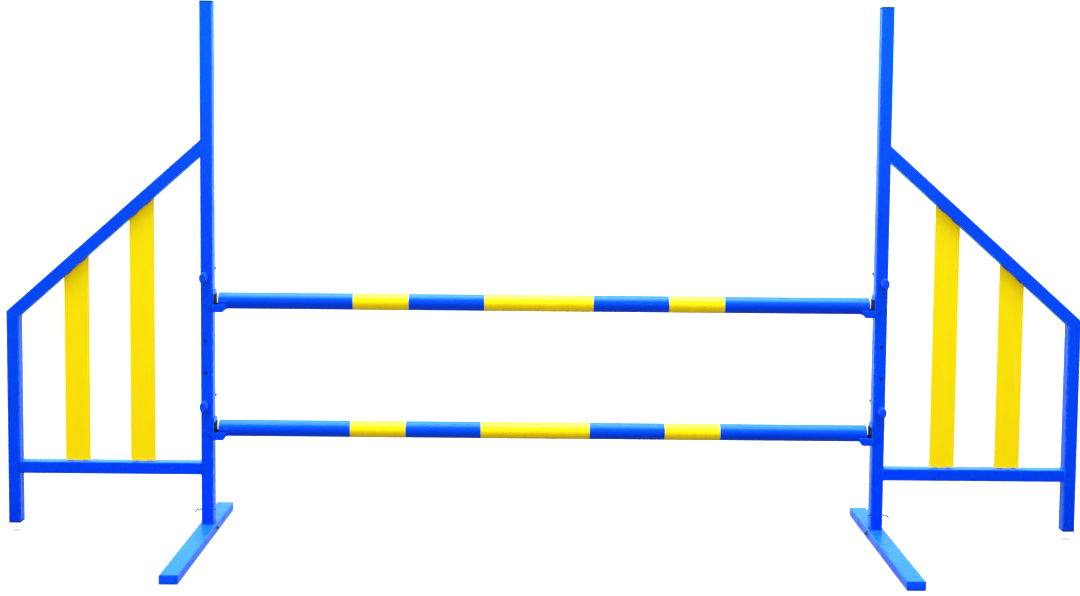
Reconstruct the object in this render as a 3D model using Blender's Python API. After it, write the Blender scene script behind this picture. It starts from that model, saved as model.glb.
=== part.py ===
"""Agility hurdle: two free-standing wings of square tube and two round bars resting in cups.

Metres, +Z up, +X along the bars, -Y towards the long ends of the feet. The origin is on the ground,
midway between the wings and midway along the feet. Run with: blender --background --python part.py
"""

import math

import bmesh
import bpy
from mathutils import Matrix, Vector

# ---- driving dimensions (metres) ----
GAP = 0.0003                # air left between two pieces that touch

TUBE = 0.028                # square tube of the wings, outside
WALL = 0.0015
CORNER = 0.0025             # outside corner radius of the tube
POST_X = 0.7705             # centre line of each upright from the middle of the hurdle
POST_Y = 0.0965             # the uprights stand behind the middle of their feet
UPRIGHT_TOP = 1.220
CAP = 0.003                 # thickness of the plastic end caps
CAP_PLUG = 0.012            # how far a cap's plug reaches into its tube

WING_EDGE = 1.228           # outer face of the outer leg, from the middle
LEG_BOTTOM = 0.020
SHOULDER_Z = 0.511          # outer top corner, where the leg meets the sloped rail
SLOPE_TOP_Z = 0.906         # where the sloped rail's top edge meets the upright
BOTTOM_RAIL_Z = 0.150       # centre line
SLAT_W = 0.057
SLAT_T = 0.003
SLAT_GAP_INNER = 0.1075     # clear gap from the upright to the first slat
SLAT_GAP_MIDDLE = 0.093     # clear gap between the slats

FOOT_LEN = 0.540
FOOT_W = 0.040
FOOT_H = 0.020
SPIGOT = 0.023              # square bar that stands on the foot inside the upright
SPIGOT_TOP = 0.080
SPIGOT_EDGE = 0.001         # softened edges of the square bar
PIN_Z = 0.052
PIN_R = 0.0016
PIN_CLEARANCE = 0.0005
PIN_INNER = 0.004           # the pin's straight ends beyond the upright's faces
PIN_OUTER = 0.008
PIN_BEND_R = 0.009
PIN_BEND = math.radians(75)
FOOT_BOLT_Z = 0.010
FOOT_BOLT_R = 0.0025
FOOT_BOLT_END = 0.0065      # how far the bolt passes the foot's far side
HEX = 0.008                 # bolt head and nut across the flats
HEX_HEAD = 0.0032
HEX_TOP_R = 0.0036
HEX_NUT = 0.004

BAR_R = 0.019
BAR_WALL = 0.0025
BAR_LEN = 1.488
BAR_FLANGE = 0.0015         # thickness of a bar plug's head
BAR_PLUG = 0.015            # length of its insert
BAR_PLUG_SOFT = 0.0008
BAND_T = 0.0005             # thickness of the yellow bands, let into the bar
END_BAND_IN = 0.319         # from the bar's end to the first band
END_BAND_W = 0.128
MIDDLE_BAND_W = 0.2505
BAND_SHIFT = {"lower": -0.018, "upper": -0.012}    # the bands sit a little off the bar's middle

HOLE_R = 0.0036
HOLE_PITCH = 0.0738
LOWER_BOLT_Z = 0.298
HOLES = (0, 1, 2, 4)        # steps above the lower bolt; the last one takes the upper bolt
BOLT_OUT = 0.003            # holes and bolts are this far outside the upright's centre line
BOLT_R = 0.003
BOLT_TIP = 0.0006
BAR_BELOW_BOLT = 0.0551     # a bar's axis hangs this far below its cup's bolt

PLATE = 0.0025              # sheet of the cups
CUP_REACH = 0.0305          # the tray's length past the upright's inner face
CUP_LIFT = 0.036            # length of the slot that the bolt runs in
SLOT_CLEARANCE = 0.0004
TRAY_HALF = 0.0178          # inside half width of the tray
FLOOR_SHORT = 0.006         # the floor stops this far before the lips' tips
LIP_TOP = -0.0077           # heights on a cup are measured from the bar's axis
LIP_BOTTOM = -0.025
LIP_NOSE = 0.009            # height of a lip's square tip
LIP_CUT = 0.007             # length of the slant below it
PLATE_EDGE = 0.001
PLATE_INSET = 0.0004        # lips and cheeks stop inside the web's edges
CHEEK_TOP = 0.025
CHEEK_TIP_Z = -0.005
CHEEK_REACH = 0.021         # how far the cheek runs over the upright's face
EAR_TOP = 0.008             # the wide part of the web ends here
STRAP_W = 0.022

KNOB_HALF_W = 0.0085        # the knob's head is an oval
KNOB_HALF_H = 0.0125
KNOB_COLLAR_R = 0.0065
KNOB_COLLAR = 0.005
KNOB_H = 0.027
KNOB_SKIN = 0.006           # solid plastic in front of the bolt's end
KNOB_SHAPE = (              # (in front of the collar, drawn in by)
    (0.001, 0.001), (0.003, 0.0), (0.018, 0.0), (0.021, 0.002), (0.022, 0.005))
NUT_FLANGE_R = 0.008
NUT_FLANGE = 0.0014
NUT_HUB_R = 0.0062
NUT_HUB = 0.0094
NUT_TAPER = 0.0015
BOLT_PAST_NUT = 0.005
WING_REACH = 0.0245
WING_T = 0.0044
WING_TURN = math.radians(48)   # the ear towards the bars points up
WING_OUTLINE = (            # (in from the tip, distance behind the strap)
    (0.0138, 0.0022), (0.001, 0.0066), (0.0, 0.0106), (0.002, 0.014), (0.006, 0.014), (0.015, 0.0088))
WING_ROOT = 0.0012          # the ears start this far outside the bolt

BLUE = (0.004, 0.105, 0.88)
BAR_BLUE = (0.003, 0.085, 0.80)
YELLOW = (0.96, 0.70, 0.003)
BLACK = (0.012, 0.012, 0.014)
ZINC = (0.62, 0.64, 0.67)
DARK_STEEL = (0.05, 0.055, 0.065)

HEIGHTS = {"lower": LOWER_BOLT_Z, "upper": LOWER_BOLT_Z + HOLES[-1] * HOLE_PITCH}
SIDES = {"left": -1, "right": 1}
X, Y, Z = Vector((1, 0, 0)), Vector((0, 1, 0)), Vector((0, 0, 1))


# ---- scene, materials and mesh helpers ----
def clear_scene():
    for obj in list(bpy.data.objects):
        bpy.data.objects.remove(obj, do_unlink=True)


def material(name, colour, roughness, metallic=0.0):
    mat = bpy.data.materials.new(name)
    mat.use_nodes = True
    shader = mat.node_tree.nodes["Principled BSDF"]
    shader.inputs["Base Color"].default_value = (*colour, 1)
    shader.inputs["Roughness"].default_value = roughness
    shader.inputs["Metallic"].default_value = metallic
    mat.diffuse_color = (*colour, 1)
    return mat


def add_object(name, bm, mat, origin=(0, 0, 0), smooth=False):
    """Turns a bmesh in world coordinates into an object whose own origin is at the given point."""
    bmesh.ops.recalc_face_normals(bm, faces=bm.faces)
    bm.transform(Matrix.Translation(-Vector(origin)))
    mesh = bpy.data.meshes.new(name)
    bm.to_mesh(mesh)
    bm.free()
    obj = bpy.data.objects.new(name, mesh)
    obj.location = origin
    bpy.context.scene.collection.objects.link(obj)
    if mat:
        mesh.materials.append(mat)
    if smooth:
        mesh.shade_smooth()
        mesh.set_sharp_from_angle(angle=math.radians(35))
    return obj


def boolean(obj, tool, operation="DIFFERENCE"):
    """Cuts the tool out of the object, or joins it on. The tool itself isn't part of the model."""
    tool.hide_render = True
    tool.display_type = "WIRE"
    step = obj.modifiers.new(tool.name, "BOOLEAN")
    step.operation = operation
    step.solver = "EXACT"
    step.object = tool


def rounded_rectangle(width, depth, radius, segments=3):
    """Outline in the plane, counter-clockwise, with each corner as an arc of a few points."""
    points = []
    corners = ((1, 1, 0), (-1, 1, 90), (-1, -1, 180), (1, -1, 270))
    for sx, sy, start in corners:
        centre = (sx * (width / 2 - radius), sy * (depth / 2 - radius))
        for i in range(segments + 1):
            angle = math.radians(start + 90 * i / segments)
            points.append((centre[0] + radius * math.cos(angle), centre[1] + radius * math.sin(angle)))
    return points


def circle(radius, count=16):
    return [(radius * math.cos(math.tau * i / count), radius * math.sin(math.tau * i / count))
            for i in range(count)]


def oval(shrink, count=24):
    """The outline of the knob's head, drawn in by the given amount."""
    half_w, half_h = KNOB_HALF_W - shrink, KNOB_HALF_H - shrink
    return [(half_w * math.cos(math.tau * i / count), half_h * math.sin(math.tau * i / count))
            for i in range(count)]


def hexagon(across_flats, per_side=2):
    """Six corners with the points between them, so that it pairs with a circle of the same count."""
    corners = [(across_flats / math.sqrt(3) * math.cos(math.radians(60 * i)),
                across_flats / math.sqrt(3) * math.sin(math.radians(60 * i))) for i in range(6)]
    points = []
    for i, (ax, ay) in enumerate(corners):
        bx, by = corners[(i + 1) % 6]
        for k in range(per_side):
            t = k / per_side
            points.append((ax + (bx - ax) * t, ay + (by - ay) * t))
    return points


def ring_of_verts(bm, outline, centre, across, up):
    return [bm.verts.new(centre + across * a + up * b) for a, b in outline]


def bridge(bm, ring_a, ring_b):
    count = len(ring_a)
    for i in range(count):
        bm.faces.new((ring_a[i], ring_a[(i + 1) % count], ring_b[(i + 1) % count], ring_b[i]))


def loft(bm, sections, base, axis, across, up):
    """A closed solid through (distance along the axis, outline) sections."""
    rings = [ring_of_verts(bm, outline, base + axis * at, across, up) for at, outline in sections]
    for ring_a, ring_b in zip(rings, rings[1:]):
        bridge(bm, ring_a, ring_b)
    bm.faces.new(rings[0])
    bm.faces.new(rings[-1])


def sleeve(bm, sections, base, axis, across, up):
    """A solid with a hole right through, from (distance, outer outline, inner outline) sections."""
    outer = [ring_of_verts(bm, o, base + axis * at, across, up) for at, o, _ in sections]
    inner = [ring_of_verts(bm, i, base + axis * at, across, up) for at, _, i in sections]
    for rings in (outer, inner):
        for ring_a, ring_b in zip(rings, rings[1:]):
            bridge(bm, ring_a, ring_b)
    bridge(bm, outer[0], inner[0])
    bridge(bm, outer[-1], inner[-1])


def box(bm, low, high):
    low, high = Vector(low), Vector(high)
    size = high - low
    made = bmesh.ops.create_cube(bm, size=1)["verts"]
    bmesh.ops.scale(bm, vec=size, verts=made)
    bmesh.ops.translate(bm, vec=(low + high) / 2, verts=made)


def plate(bm, outline, base, across, up, thickness_vector):
    """Extrudes a flat outline, given as (across, up) pairs, by the thickness vector."""
    face = bm.faces.new(ring_of_verts(bm, outline, Vector(base), across, up))
    moved = bmesh.ops.extrude_face_region(bm, geom=[face])["geom"]
    verts = [item for item in moved if isinstance(item, bmesh.types.BMVert)]
    bmesh.ops.translate(bm, vec=thickness_vector, verts=verts)


def mitred_tube(bm, centre, axis, across, up, start_plane, end_plane):
    """Square tube along a line, each end cut by a plane given as (point, normal)."""
    inner_size = TUBE - 2 * WALL
    outlines = (rounded_rectangle(TUBE, TUBE, CORNER),
                rounded_rectangle(inner_size, inner_size, CORNER - WALL))
    rings = []
    for point, normal in (start_plane, end_plane):
        for outline in outlines:
            verts = []
            for a, b in outline:
                on_line = centre + across * a + up * b
                along = (point - on_line).dot(normal) / axis.dot(normal)
                verts.append(bm.verts.new(on_line + axis * along))
            rings.append(verts)
    start_outer, start_inner, end_outer, end_inner = rings
    bridge(bm, start_outer, end_outer)
    bridge(bm, start_inner, end_inner)
    bridge(bm, start_outer, start_inner)
    bridge(bm, end_outer, end_inner)


def rod(name, centre, axis, across, radius, length, count=16):
    """A round cutter centred on a point."""
    bm = bmesh.new()
    up = axis.cross(across)
    sections = [(-length / 2, circle(radius, count)), (length / 2, circle(radius, count))]
    loft(bm, sections, Vector(centre), axis, across, up)
    return add_object(name, bm, None)


# ---- places worked out from the driving dimensions ----
def inner_face(side):
    """X of an upright's face towards the bars."""
    return side * (POST_X - TUBE / 2)


def bar_axis_z(level):
    return HEIGHTS[level] - BAR_BELOW_BOLT


def slope_angle():
    return math.atan2(SLOPE_TOP_Z - SHOULDER_Z, WING_EDGE - POST_X - TUBE / 2)


def mitre_plane(side, shift):
    """The plane through the shoulder that halves the angle between the leg and the sloped rail."""
    angle = slope_angle()
    slope_up = Vector((-side * math.cos(angle), 0, math.sin(angle)))
    normal = (slope_up + Z).normalized()
    return Vector((side * WING_EDGE, POST_Y, SHOULDER_Z)) + normal * shift, normal


def end_plug_sections(size, wall, radius, flange, depth):
    """Sections of a plug for a tube's end: its insert, then a flange with a softened edge."""
    insert_w, insert_d = size[0] - 2 * wall - 2 * GAP, size[1] - 2 * wall - 2 * GAP
    insert = rounded_rectangle(insert_w, insert_d, radius - wall)
    full = rounded_rectangle(size[0], size[1], radius)
    soft = 0.0006
    top = rounded_rectangle(size[0] - 2 * soft, size[1] - 2 * soft, radius - soft)
    return [(-depth, insert), (GAP, insert), (GAP, full), (flange - soft, full), (flange, top)]


# ---- the wings ----
def build_upright(side_name, side, mats):
    bm = bmesh.new()
    centre = Vector((side * POST_X, POST_Y, 0))
    bottom = (Vector((0, 0, FOOT_H + GAP)), Z)
    top = (Vector((0, 0, UPRIGHT_TOP - CAP)), Z)
    mitred_tube(bm, centre, Z, X, Y, bottom, top)
    upright = add_object(f"{side_name}_upright", bm, mats["blue"], smooth=True)
    for i in HOLES:
        at = (side * (POST_X + BOLT_OUT), POST_Y, LOWER_BOLT_Z + i * HOLE_PITCH)
        boolean(upright, rod(f"{side_name}_height_hole_{i}", at, Y, X, HOLE_R, 2 * TUBE))
    pin_hole = rod(f"{side_name}_pin_hole", (side * POST_X, POST_Y, PIN_Z), X, Y,
                   PIN_R + PIN_CLEARANCE, 2 * TUBE)
    boolean(upright, pin_hole)

    bm = bmesh.new()
    sections = end_plug_sections((TUBE, TUBE), WALL, CORNER, CAP, CAP_PLUG)
    loft(bm, sections, Vector((side * POST_X, POST_Y, UPRIGHT_TOP - CAP)), Z, X, Y)
    add_object(f"{side_name}_upright_cap", bm, mats["black"])


def build_leg(side_name, side, mats):
    bm = bmesh.new()
    centre = Vector((side * (WING_EDGE - TUBE / 2), POST_Y, 0))
    bottom = (Vector((0, 0, LEG_BOTTOM + CAP)), Z)
    mitred_tube(bm, centre, Z, X, Y, bottom, mitre_plane(side, -GAP / 2))
    add_object(f"{side_name}_leg", bm, mats["blue"], smooth=True)

    bm = bmesh.new()
    sections = end_plug_sections((TUBE, TUBE), WALL, CORNER, CAP, CAP_PLUG)
    loft(bm, sections, centre + Z * (LEG_BOTTOM + CAP), -Z, X, Y)
    add_object(f"{side_name}_leg_cap", bm, mats["black"])


def build_rails(side_name, side, mats):
    angle = slope_angle()
    slope_up = Vector((-side * math.cos(angle), 0, math.sin(angle)))
    outward_normal = Vector((side * math.sin(angle), 0, math.cos(angle)))
    shoulder = Vector((side * WING_EDGE, POST_Y, SHOULDER_Z))
    upright_plane = (Vector((side * (POST_X + TUBE / 2 + GAP), 0, 0)), X)
    bm = bmesh.new()
    mitred_tube(bm, shoulder - outward_normal * TUBE / 2, slope_up, outward_normal, Y,
                mitre_plane(side, GAP / 2), upright_plane)
    add_object(f"{side_name}_sloped_rail", bm, mats["blue"], smooth=True)

    leg_plane = (Vector((side * (WING_EDGE - TUBE - GAP), 0, 0)), X)
    bm = bmesh.new()
    centre = Vector((side * POST_X, POST_Y, BOTTOM_RAIL_Z))
    mitred_tube(bm, centre, X, Y, Z, upright_plane, leg_plane)
    add_object(f"{side_name}_bottom_rail", bm, mats["blue"], smooth=True)


def build_slats(side_name, side, mats):
    """Flat strips that stand on the bottom rail and are cut to the slope under the sloped rail."""
    slope = math.tan(slope_angle())
    rail_drop = TUBE / math.cos(slope_angle()) + GAP / math.cos(slope_angle())
    first = POST_X + TUBE / 2 + SLAT_GAP_INNER
    starts = {"inner": first, "outer": first + SLAT_W + SLAT_GAP_MIDDLE}
    foot_z = BOTTOM_RAIL_Z + TUBE / 2 + GAP
    for place, start in starts.items():
        edges = (start, start + SLAT_W)
        tops = [SHOULDER_Z + (WING_EDGE - edge) * slope - rail_drop for edge in edges]
        outline = [(side * edges[0], foot_z), (side * edges[1], foot_z),
                   (side * edges[1], tops[1]), (side * edges[0], tops[0])]
        bm = bmesh.new()
        plate(bm, outline, (0, POST_Y - SLAT_T / 2, 0), X, Z, Y * SLAT_T)
        add_object(f"{side_name}_{place}_slat", bm, mats["yellow"])


def build_foot(side_name, side, mats):
    size = (FOOT_W, FOOT_H)
    outer = rounded_rectangle(*size, CORNER)
    inner = rounded_rectangle(FOOT_W - 2 * WALL, FOOT_H - 2 * WALL, CORNER - WALL)
    centre = Vector((side * POST_X, 0, FOOT_H / 2))
    half = FOOT_LEN / 2 - CAP
    bm = bmesh.new()
    sleeve(bm, [(-half, outer, inner), (half, outer, inner)], centre, Y, X, Z)
    foot = add_object(f"{side_name}_foot", bm, mats["blue"], smooth=True)

    bm = bmesh.new()
    opening = SPIGOT / 2 + GAP
    box(bm, (side * POST_X - opening, POST_Y - opening, FOOT_H / 2),
        (side * POST_X + opening, POST_Y + opening, 2 * FOOT_H))
    boolean(foot, add_object(f"{side_name}_spigot_opening", bm, None))
    bolt_at = (side * POST_X, POST_Y, FOOT_BOLT_Z)
    boolean(foot, rod(f"{side_name}_foot_bolt_hole", bolt_at, X, Y, FOOT_BOLT_R + GAP, 2 * FOOT_W, 12))

    for end_name, end in (("front", -1), ("rear", 1)):
        bm = bmesh.new()
        sections = end_plug_sections(size, WALL, CORNER, CAP, CAP_PLUG)
        loft(bm, sections, centre + Y * end * half, Y * end, X, Z)
        add_object(f"{side_name}_foot_{end_name}_plug", bm, mats["blue_plastic"])


def build_spigot(side_name, side, mats):
    bm = bmesh.new()
    base = Vector((side * POST_X, POST_Y, 0))
    square = rounded_rectangle(SPIGOT, SPIGOT, SPIGOT_EDGE, 1)
    tip = rounded_rectangle(SPIGOT - 2 * SPIGOT_EDGE, SPIGOT - 2 * SPIGOT_EDGE, SPIGOT_EDGE, 1)
    sections = [(WALL + GAP, square), (SPIGOT_TOP - SPIGOT_EDGE, square), (SPIGOT_TOP, tip)]
    loft(bm, sections, base, Z, X, Y)
    spigot = add_object(f"{side_name}_spigot", bm, mats["zinc"])
    boolean(spigot, rod(f"{side_name}_spigot_pin_hole", base + Z * PIN_Z, X, Y,
                        PIN_R + PIN_CLEARANCE, 2 * TUBE, 12))
    boolean(spigot, rod(f"{side_name}_spigot_bolt_hole", base + Z * FOOT_BOLT_Z, X, Y,
                        FOOT_BOLT_R + GAP, 2 * TUBE, 12))

    head = hexagon(HEX)
    shank = circle(FOOT_BOLT_R, 12)
    inner_side = Vector((side * (POST_X - FOOT_W / 2 - GAP), POST_Y, FOOT_BOLT_Z))
    outward = X * side
    bm = bmesh.new()
    loft(bm, [(-HEX_HEAD, circle(HEX_TOP_R, 12)), (-HEX_HEAD * 0.8, head), (0, head), (0, shank),
              (FOOT_W + FOOT_BOLT_END, shank)], inner_side, outward, Y, Z)
    add_object(f"{side_name}_foot_bolt", bm, mats["dark_steel"])

    bm = bmesh.new()
    outer_side = Vector((side * (POST_X + FOOT_W / 2 + GAP), POST_Y, FOOT_BOLT_Z))
    bore = circle(FOOT_BOLT_R + GAP, 12)
    sleeve(bm, [(0, head, bore), (HEX_NUT, head, bore)], outer_side, outward, Y, Z)
    add_object(f"{side_name}_foot_nut", bm, mats["dark_steel"])


def build_lock_pin(side_name, side, mats):
    """Bent wire through the upright and the spigot, with a tail that hooks down outside."""
    inner_end, straight_end = -TUBE / 2 - PIN_INNER, TUBE / 2 + PIN_OUTER
    bend_points = 7
    route = [(inner_end, 0), (0, 0), (straight_end, 0)]
    for i in range(1, bend_points + 1):
        angle = PIN_BEND * i / bend_points
        route.append((straight_end + PIN_BEND_R * math.sin(angle), -PIN_BEND_R * (1 - math.cos(angle))))
    curve = bpy.data.curves.new(f"{side_name}_lock_pin", "CURVE")
    curve.dimensions = "3D"
    curve.bevel_depth = PIN_R
    curve.bevel_resolution = 2
    curve.use_fill_caps = True
    spline = curve.splines.new("POLY")
    spline.points.add(len(route) - 1)
    for point, (along, down) in zip(spline.points, route):
        point.co = (side * along, 0, down, 1)
    curve.materials.append(mats["zinc"])
    pin = bpy.data.objects.new(f"{side_name}_lock_pin", curve)
    pin.location = (side * POST_X, POST_Y, PIN_Z)
    bpy.context.scene.collection.objects.link(pin)


# ---- the cups and their bolts ----
def strap_outline():
    """Rear plate of a cup, as (distance outwards from the upright's inner face, height)."""
    near, far = (TUBE - STRAP_W) / 2, (TUBE + STRAP_W) / 2
    top_centre = (TUBE / 2, BAR_BELOW_BOLT)
    arc = []
    for i in range(9):
        angle = math.pi - math.pi * i / 8
        arc.append((top_centre[0] + STRAP_W / 2 * math.cos(angle),
                    top_centre[1] + STRAP_W / 2 * math.sin(angle)))
    root = -GAP - PLATE / 2
    return [(root, LIP_BOTTOM + PLATE), (root, CHEEK_TOP), (near, CHEEK_TOP), *arc,
            (far, 0), (CHEEK_REACH, CHEEK_TIP_Z)]


def build_cup(side_name, side, level, mats):
    """Sheet-metal cup: a tray under the bar's end, a web and two cheeks on the upright, and a slotted
    strap up the rear face to the bolt."""
    origin = Vector((inner_face(side), POST_Y, bar_axis_z(level)))
    outward = X * side
    name = f"{side_name}_{level}_cup"

    def solid(part, outline, y, thickness):
        bm = bmesh.new()
        plate(bm, outline, origin + Y * y, outward, Z, Y * thickness)
        return add_object(f"{name}_{part}", bm, None)

    bm = bmesh.new()
    wide, narrow = TRAY_HALF + PLATE, TUBE / 2 + GAP + PLATE
    web = [(-wide, LIP_BOTTOM), (wide, LIP_BOTTOM), (wide, EAR_TOP - wide + narrow), (narrow, EAR_TOP),
           (narrow, CHEEK_TOP), (-narrow, CHEEK_TOP), (-narrow, EAR_TOP), (-wide, EAR_TOP - wide + narrow)]
    plate(bm, web, origin - outward * GAP, Y, Z, -outward * PLATE)
    cup = add_object(name, bm, mats["blue"], origin)

    root = -GAP - PLATE / 2
    lip = [(root, LIP_BOTTOM + PLATE_EDGE), (root, LIP_TOP), (PLATE_EDGE - CUP_REACH, LIP_TOP),
           (-CUP_REACH, LIP_TOP - PLATE_EDGE), (-CUP_REACH, LIP_TOP - LIP_NOSE),
           (LIP_CUT - CUP_REACH, LIP_BOTTOM), (root - PLATE, LIP_BOTTOM)]
    cheek = [(root, LIP_BOTTOM + PLATE), (root, CHEEK_TOP - PLATE_EDGE), (CHEEK_REACH, CHEEK_TIP_Z)]
    face = TUBE / 2 + GAP
    inset = PLATE_INSET
    pieces = [solid("front_lip", lip, -TRAY_HALF - PLATE + inset, PLATE - inset),
              solid("rear_lip", lip, TRAY_HALF, PLATE - inset),
              solid("front_cheek", cheek, -face - PLATE + inset, PLATE - inset),
              solid("rear_strap", strap_outline(), face, PLATE - inset)]
    bm = bmesh.new()
    floor_top = -BAR_R - GAP
    floor = [(-TRAY_HALF - PLATE / 2, floor_top - PLATE), (TRAY_HALF + PLATE / 2, floor_top - PLATE),
             (TRAY_HALF + PLATE / 2, floor_top), (-TRAY_HALF - PLATE / 2, floor_top)]
    plate(bm, floor, origin + outward * root, Y, Z, -outward * (CUP_REACH + root - FLOOR_SHORT))
    pieces.append(add_object(f"{name}_floor", bm, None))
    for piece in pieces:
        boolean(cup, piece, "UNION")

    slot_r = BOLT_R + SLOT_CLEARANCE
    bolt_centre = TUBE / 2 + BOLT_OUT
    slot = []
    for i in range(9):
        angle = math.pi * i / 8
        slot.append((bolt_centre + slot_r * math.cos(angle), BAR_BELOW_BOLT + slot_r * math.sin(angle)))
    for i in range(9):
        angle = math.pi + math.pi * i / 8
        slot.append((bolt_centre + slot_r * math.cos(angle),
                     BAR_BELOW_BOLT - CUP_LIFT + slot_r * math.sin(angle)))
    boolean(cup, solid("slot", slot, face - PLATE, 3 * PLATE))


def build_bolt_set(side_name, side, level, mats):
    """Knob and bolt in front, wing nut behind; both turn about the bolt's axis."""
    axis_point = Vector((side * (POST_X + BOLT_OUT), POST_Y, HEIGHTS[level]))
    front = axis_point - Y * (TUBE / 2 + GAP)
    collar = circle(KNOB_COLLAR_R, 24)
    bore = circle(BOLT_R + GAP, 24)
    bore_depth = KNOB_H - KNOB_SKIN
    bm = bmesh.new()
    outside = [(0, collar), (KNOB_COLLAR, collar)]
    outside += [(KNOB_COLLAR + at, oval(shrink)) for at, shrink in KNOB_SHAPE]
    rings = [ring_of_verts(bm, outline, front - Y * at, X, Z) for at, outline in outside]
    bore_rings = [ring_of_verts(bm, bore, front - Y * at, X, Z) for at in (0, bore_depth)]
    for ring_a, ring_b in zip(rings, rings[1:]):
        bridge(bm, ring_a, ring_b)
    bridge(bm, rings[0], bore_rings[0])
    bridge(bm, *bore_rings)
    bm.faces.new(rings[-1])
    bm.faces.new(bore_rings[-1])
    add_object(f"{side_name}_{level}_knob", bm, mats["blue_plastic"], axis_point, smooth=True)

    nut_seat = TUBE / 2 + GAP + PLATE + GAP
    bm = bmesh.new()
    shank = circle(BOLT_R, 16)
    tip = circle(BOLT_R - BOLT_TIP, 16)
    bolt_end = nut_seat + NUT_HUB + BOLT_PAST_NUT
    bolt_start = -(TUBE / 2 + GAP + bore_depth - GAP)
    loft(bm, [(bolt_start, shank), (bolt_end - BOLT_TIP, shank), (bolt_end, tip)], axis_point, Y, X, Z)
    add_object(f"{side_name}_{level}_bolt", bm, mats["zinc"], axis_point, smooth=True)

    bm = bmesh.new()
    hub_bore = circle(BOLT_R + GAP, 16)
    hub_top = circle(NUT_HUB_R - NUT_TAPER, 16)
    flange = circle(NUT_FLANGE_R, 16)
    sleeve(bm, [(0, flange, hub_bore), (NUT_FLANGE, flange, hub_bore),
                (NUT_FLANGE, circle(NUT_HUB_R, 16), hub_bore), (NUT_HUB, hub_top, hub_bore)],
           axis_point + Y * nut_seat, Y, X, Z)
    nut = add_object(f"{side_name}_{level}_wing_nut", bm, mats["dark_steel"], axis_point, smooth=True)
    for wing in (1, -1):
        turn = Matrix.Rotation(side * WING_TURN, 3, "Y")
        along = turn @ (X * -side * wing)
        across = along.cross(Y)
        start = BOLT_R + WING_ROOT
        low, high = WING_OUTLINE[0][1], WING_OUTLINE[-1][1]
        ear = [(start, low), *((WING_REACH - back, at) for back, at in WING_OUTLINE), (start, high)]
        bm = bmesh.new()
        base = axis_point + Y * nut_seat - across * WING_T / 2
        plate(bm, ear, base, along, Y, across * WING_T)
        ear_name = f"{side_name}_{level}_nut_ear_{'a' if wing > 0 else 'b'}"
        boolean(nut, add_object(ear_name, bm, None), "UNION")


# ---- the bars ----
def build_bar(level, mats):
    """Round pipe along X with three yellow bands let into it and a plug in each end."""
    sides = 32
    axis = Vector((0, POST_Y, bar_axis_z(level)))
    half = BAR_LEN / 2 - BAR_FLANGE
    outer, groove = circle(BAR_R, sides), circle(BAR_R - BAND_T - GAP, sides)
    bore = circle(BAR_R - BAR_WALL, sides)
    first = -BAR_LEN / 2 + END_BAND_IN
    shift = BAND_SHIFT[level]
    bands = {"left": (shift + first, shift + first + END_BAND_W),
             "middle": (shift - MIDDLE_BAND_W / 2, shift + MIDDLE_BAND_W / 2),
             "right": (shift - first - END_BAND_W, shift - first)}
    sections = [(-half, outer, bore)]
    for start, end in bands.values():
        sections += [(start, outer, bore), (start, groove, bore), (end, groove, bore), (end, outer, bore)]
    sections.append((half, outer, bore))
    bm = bmesh.new()
    rings = [ring_of_verts(bm, o, axis + X * at, Y, Z) for at, o, _ in sections]
    bores = [ring_of_verts(bm, bore, axis + X * at, Y, Z) for at in (-half, half)]
    for ring_a, ring_b in zip(rings, rings[1:]):
        bridge(bm, ring_a, ring_b)
    bridge(bm, *bores)
    bridge(bm, rings[0], bores[0])
    bridge(bm, rings[-1], bores[1])
    add_object(f"{level}_bar", bm, mats["bar_blue"], axis, smooth=True)

    inside = circle(BAR_R - BAND_T, sides)
    for place, (start, end) in bands.items():
        bm = bmesh.new()
        sleeve(bm, [(start + GAP, outer, inside), (end - GAP, outer, inside)], axis, X, Y, Z)
        add_object(f"{level}_bar_{place}_band", bm, mats["yellow_tape"], axis, smooth=True)

    insert = circle(BAR_R - BAR_WALL - GAP, 24)
    for side_name, side in SIDES.items():
        bm = bmesh.new()
        full, soft = circle(BAR_R, 24), circle(BAR_R - BAR_PLUG_SOFT, 24)
        sections = [(-BAR_PLUG, insert), (GAP, insert), (GAP, full), (BAR_FLANGE * 0.6, full),
                    (BAR_FLANGE, soft)]
        loft(bm, sections, axis + X * side * half, X * side, Y, Z)
        add_object(f"{level}_bar_{side_name}_plug", bm, mats["blue_plastic"], axis, smooth=True)


def main():
    clear_scene()
    mats = {
        "blue": material("blue_powder_coat", BLUE, 0.35),
        "blue_plastic": material("blue_plastic", BLUE, 0.4),
        "bar_blue": material("blue_pipe", BAR_BLUE, 0.22),
        "yellow": material("yellow_paint", YELLOW, 0.4),
        "yellow_tape": material("yellow_tape", YELLOW, 0.25),
        "black": material("black_plastic", BLACK, 0.5),
        "zinc": material("zinc_plate", ZINC, 0.35, 1.0),
        "dark_steel": material("dark_steel", DARK_STEEL, 0.45, 1.0),
    }
    for side_name, side in SIDES.items():
        build_upright(side_name, side, mats)
        build_leg(side_name, side, mats)
        build_rails(side_name, side, mats)
        build_slats(side_name, side, mats)
        build_foot(side_name, side, mats)
        build_spigot(side_name, side, mats)
        build_lock_pin(side_name, side, mats)
        for level in HEIGHTS:
            build_cup(side_name, side, level, mats)
            build_bolt_set(side_name, side, level, mats)
    for level in HEIGHTS:
        build_bar(level, mats)


main()
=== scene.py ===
"""Looks of an agility hurdle: finer pieces, finishes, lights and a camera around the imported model.

Metres, +Z up, +X along the bars, -Y to the front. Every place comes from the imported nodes' boxes.
"""

import random
from math import atan2, cos, pi, radians, sin, tan, tau

import bmesh
import bpy
from mathutils import Matrix, Vector


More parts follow.
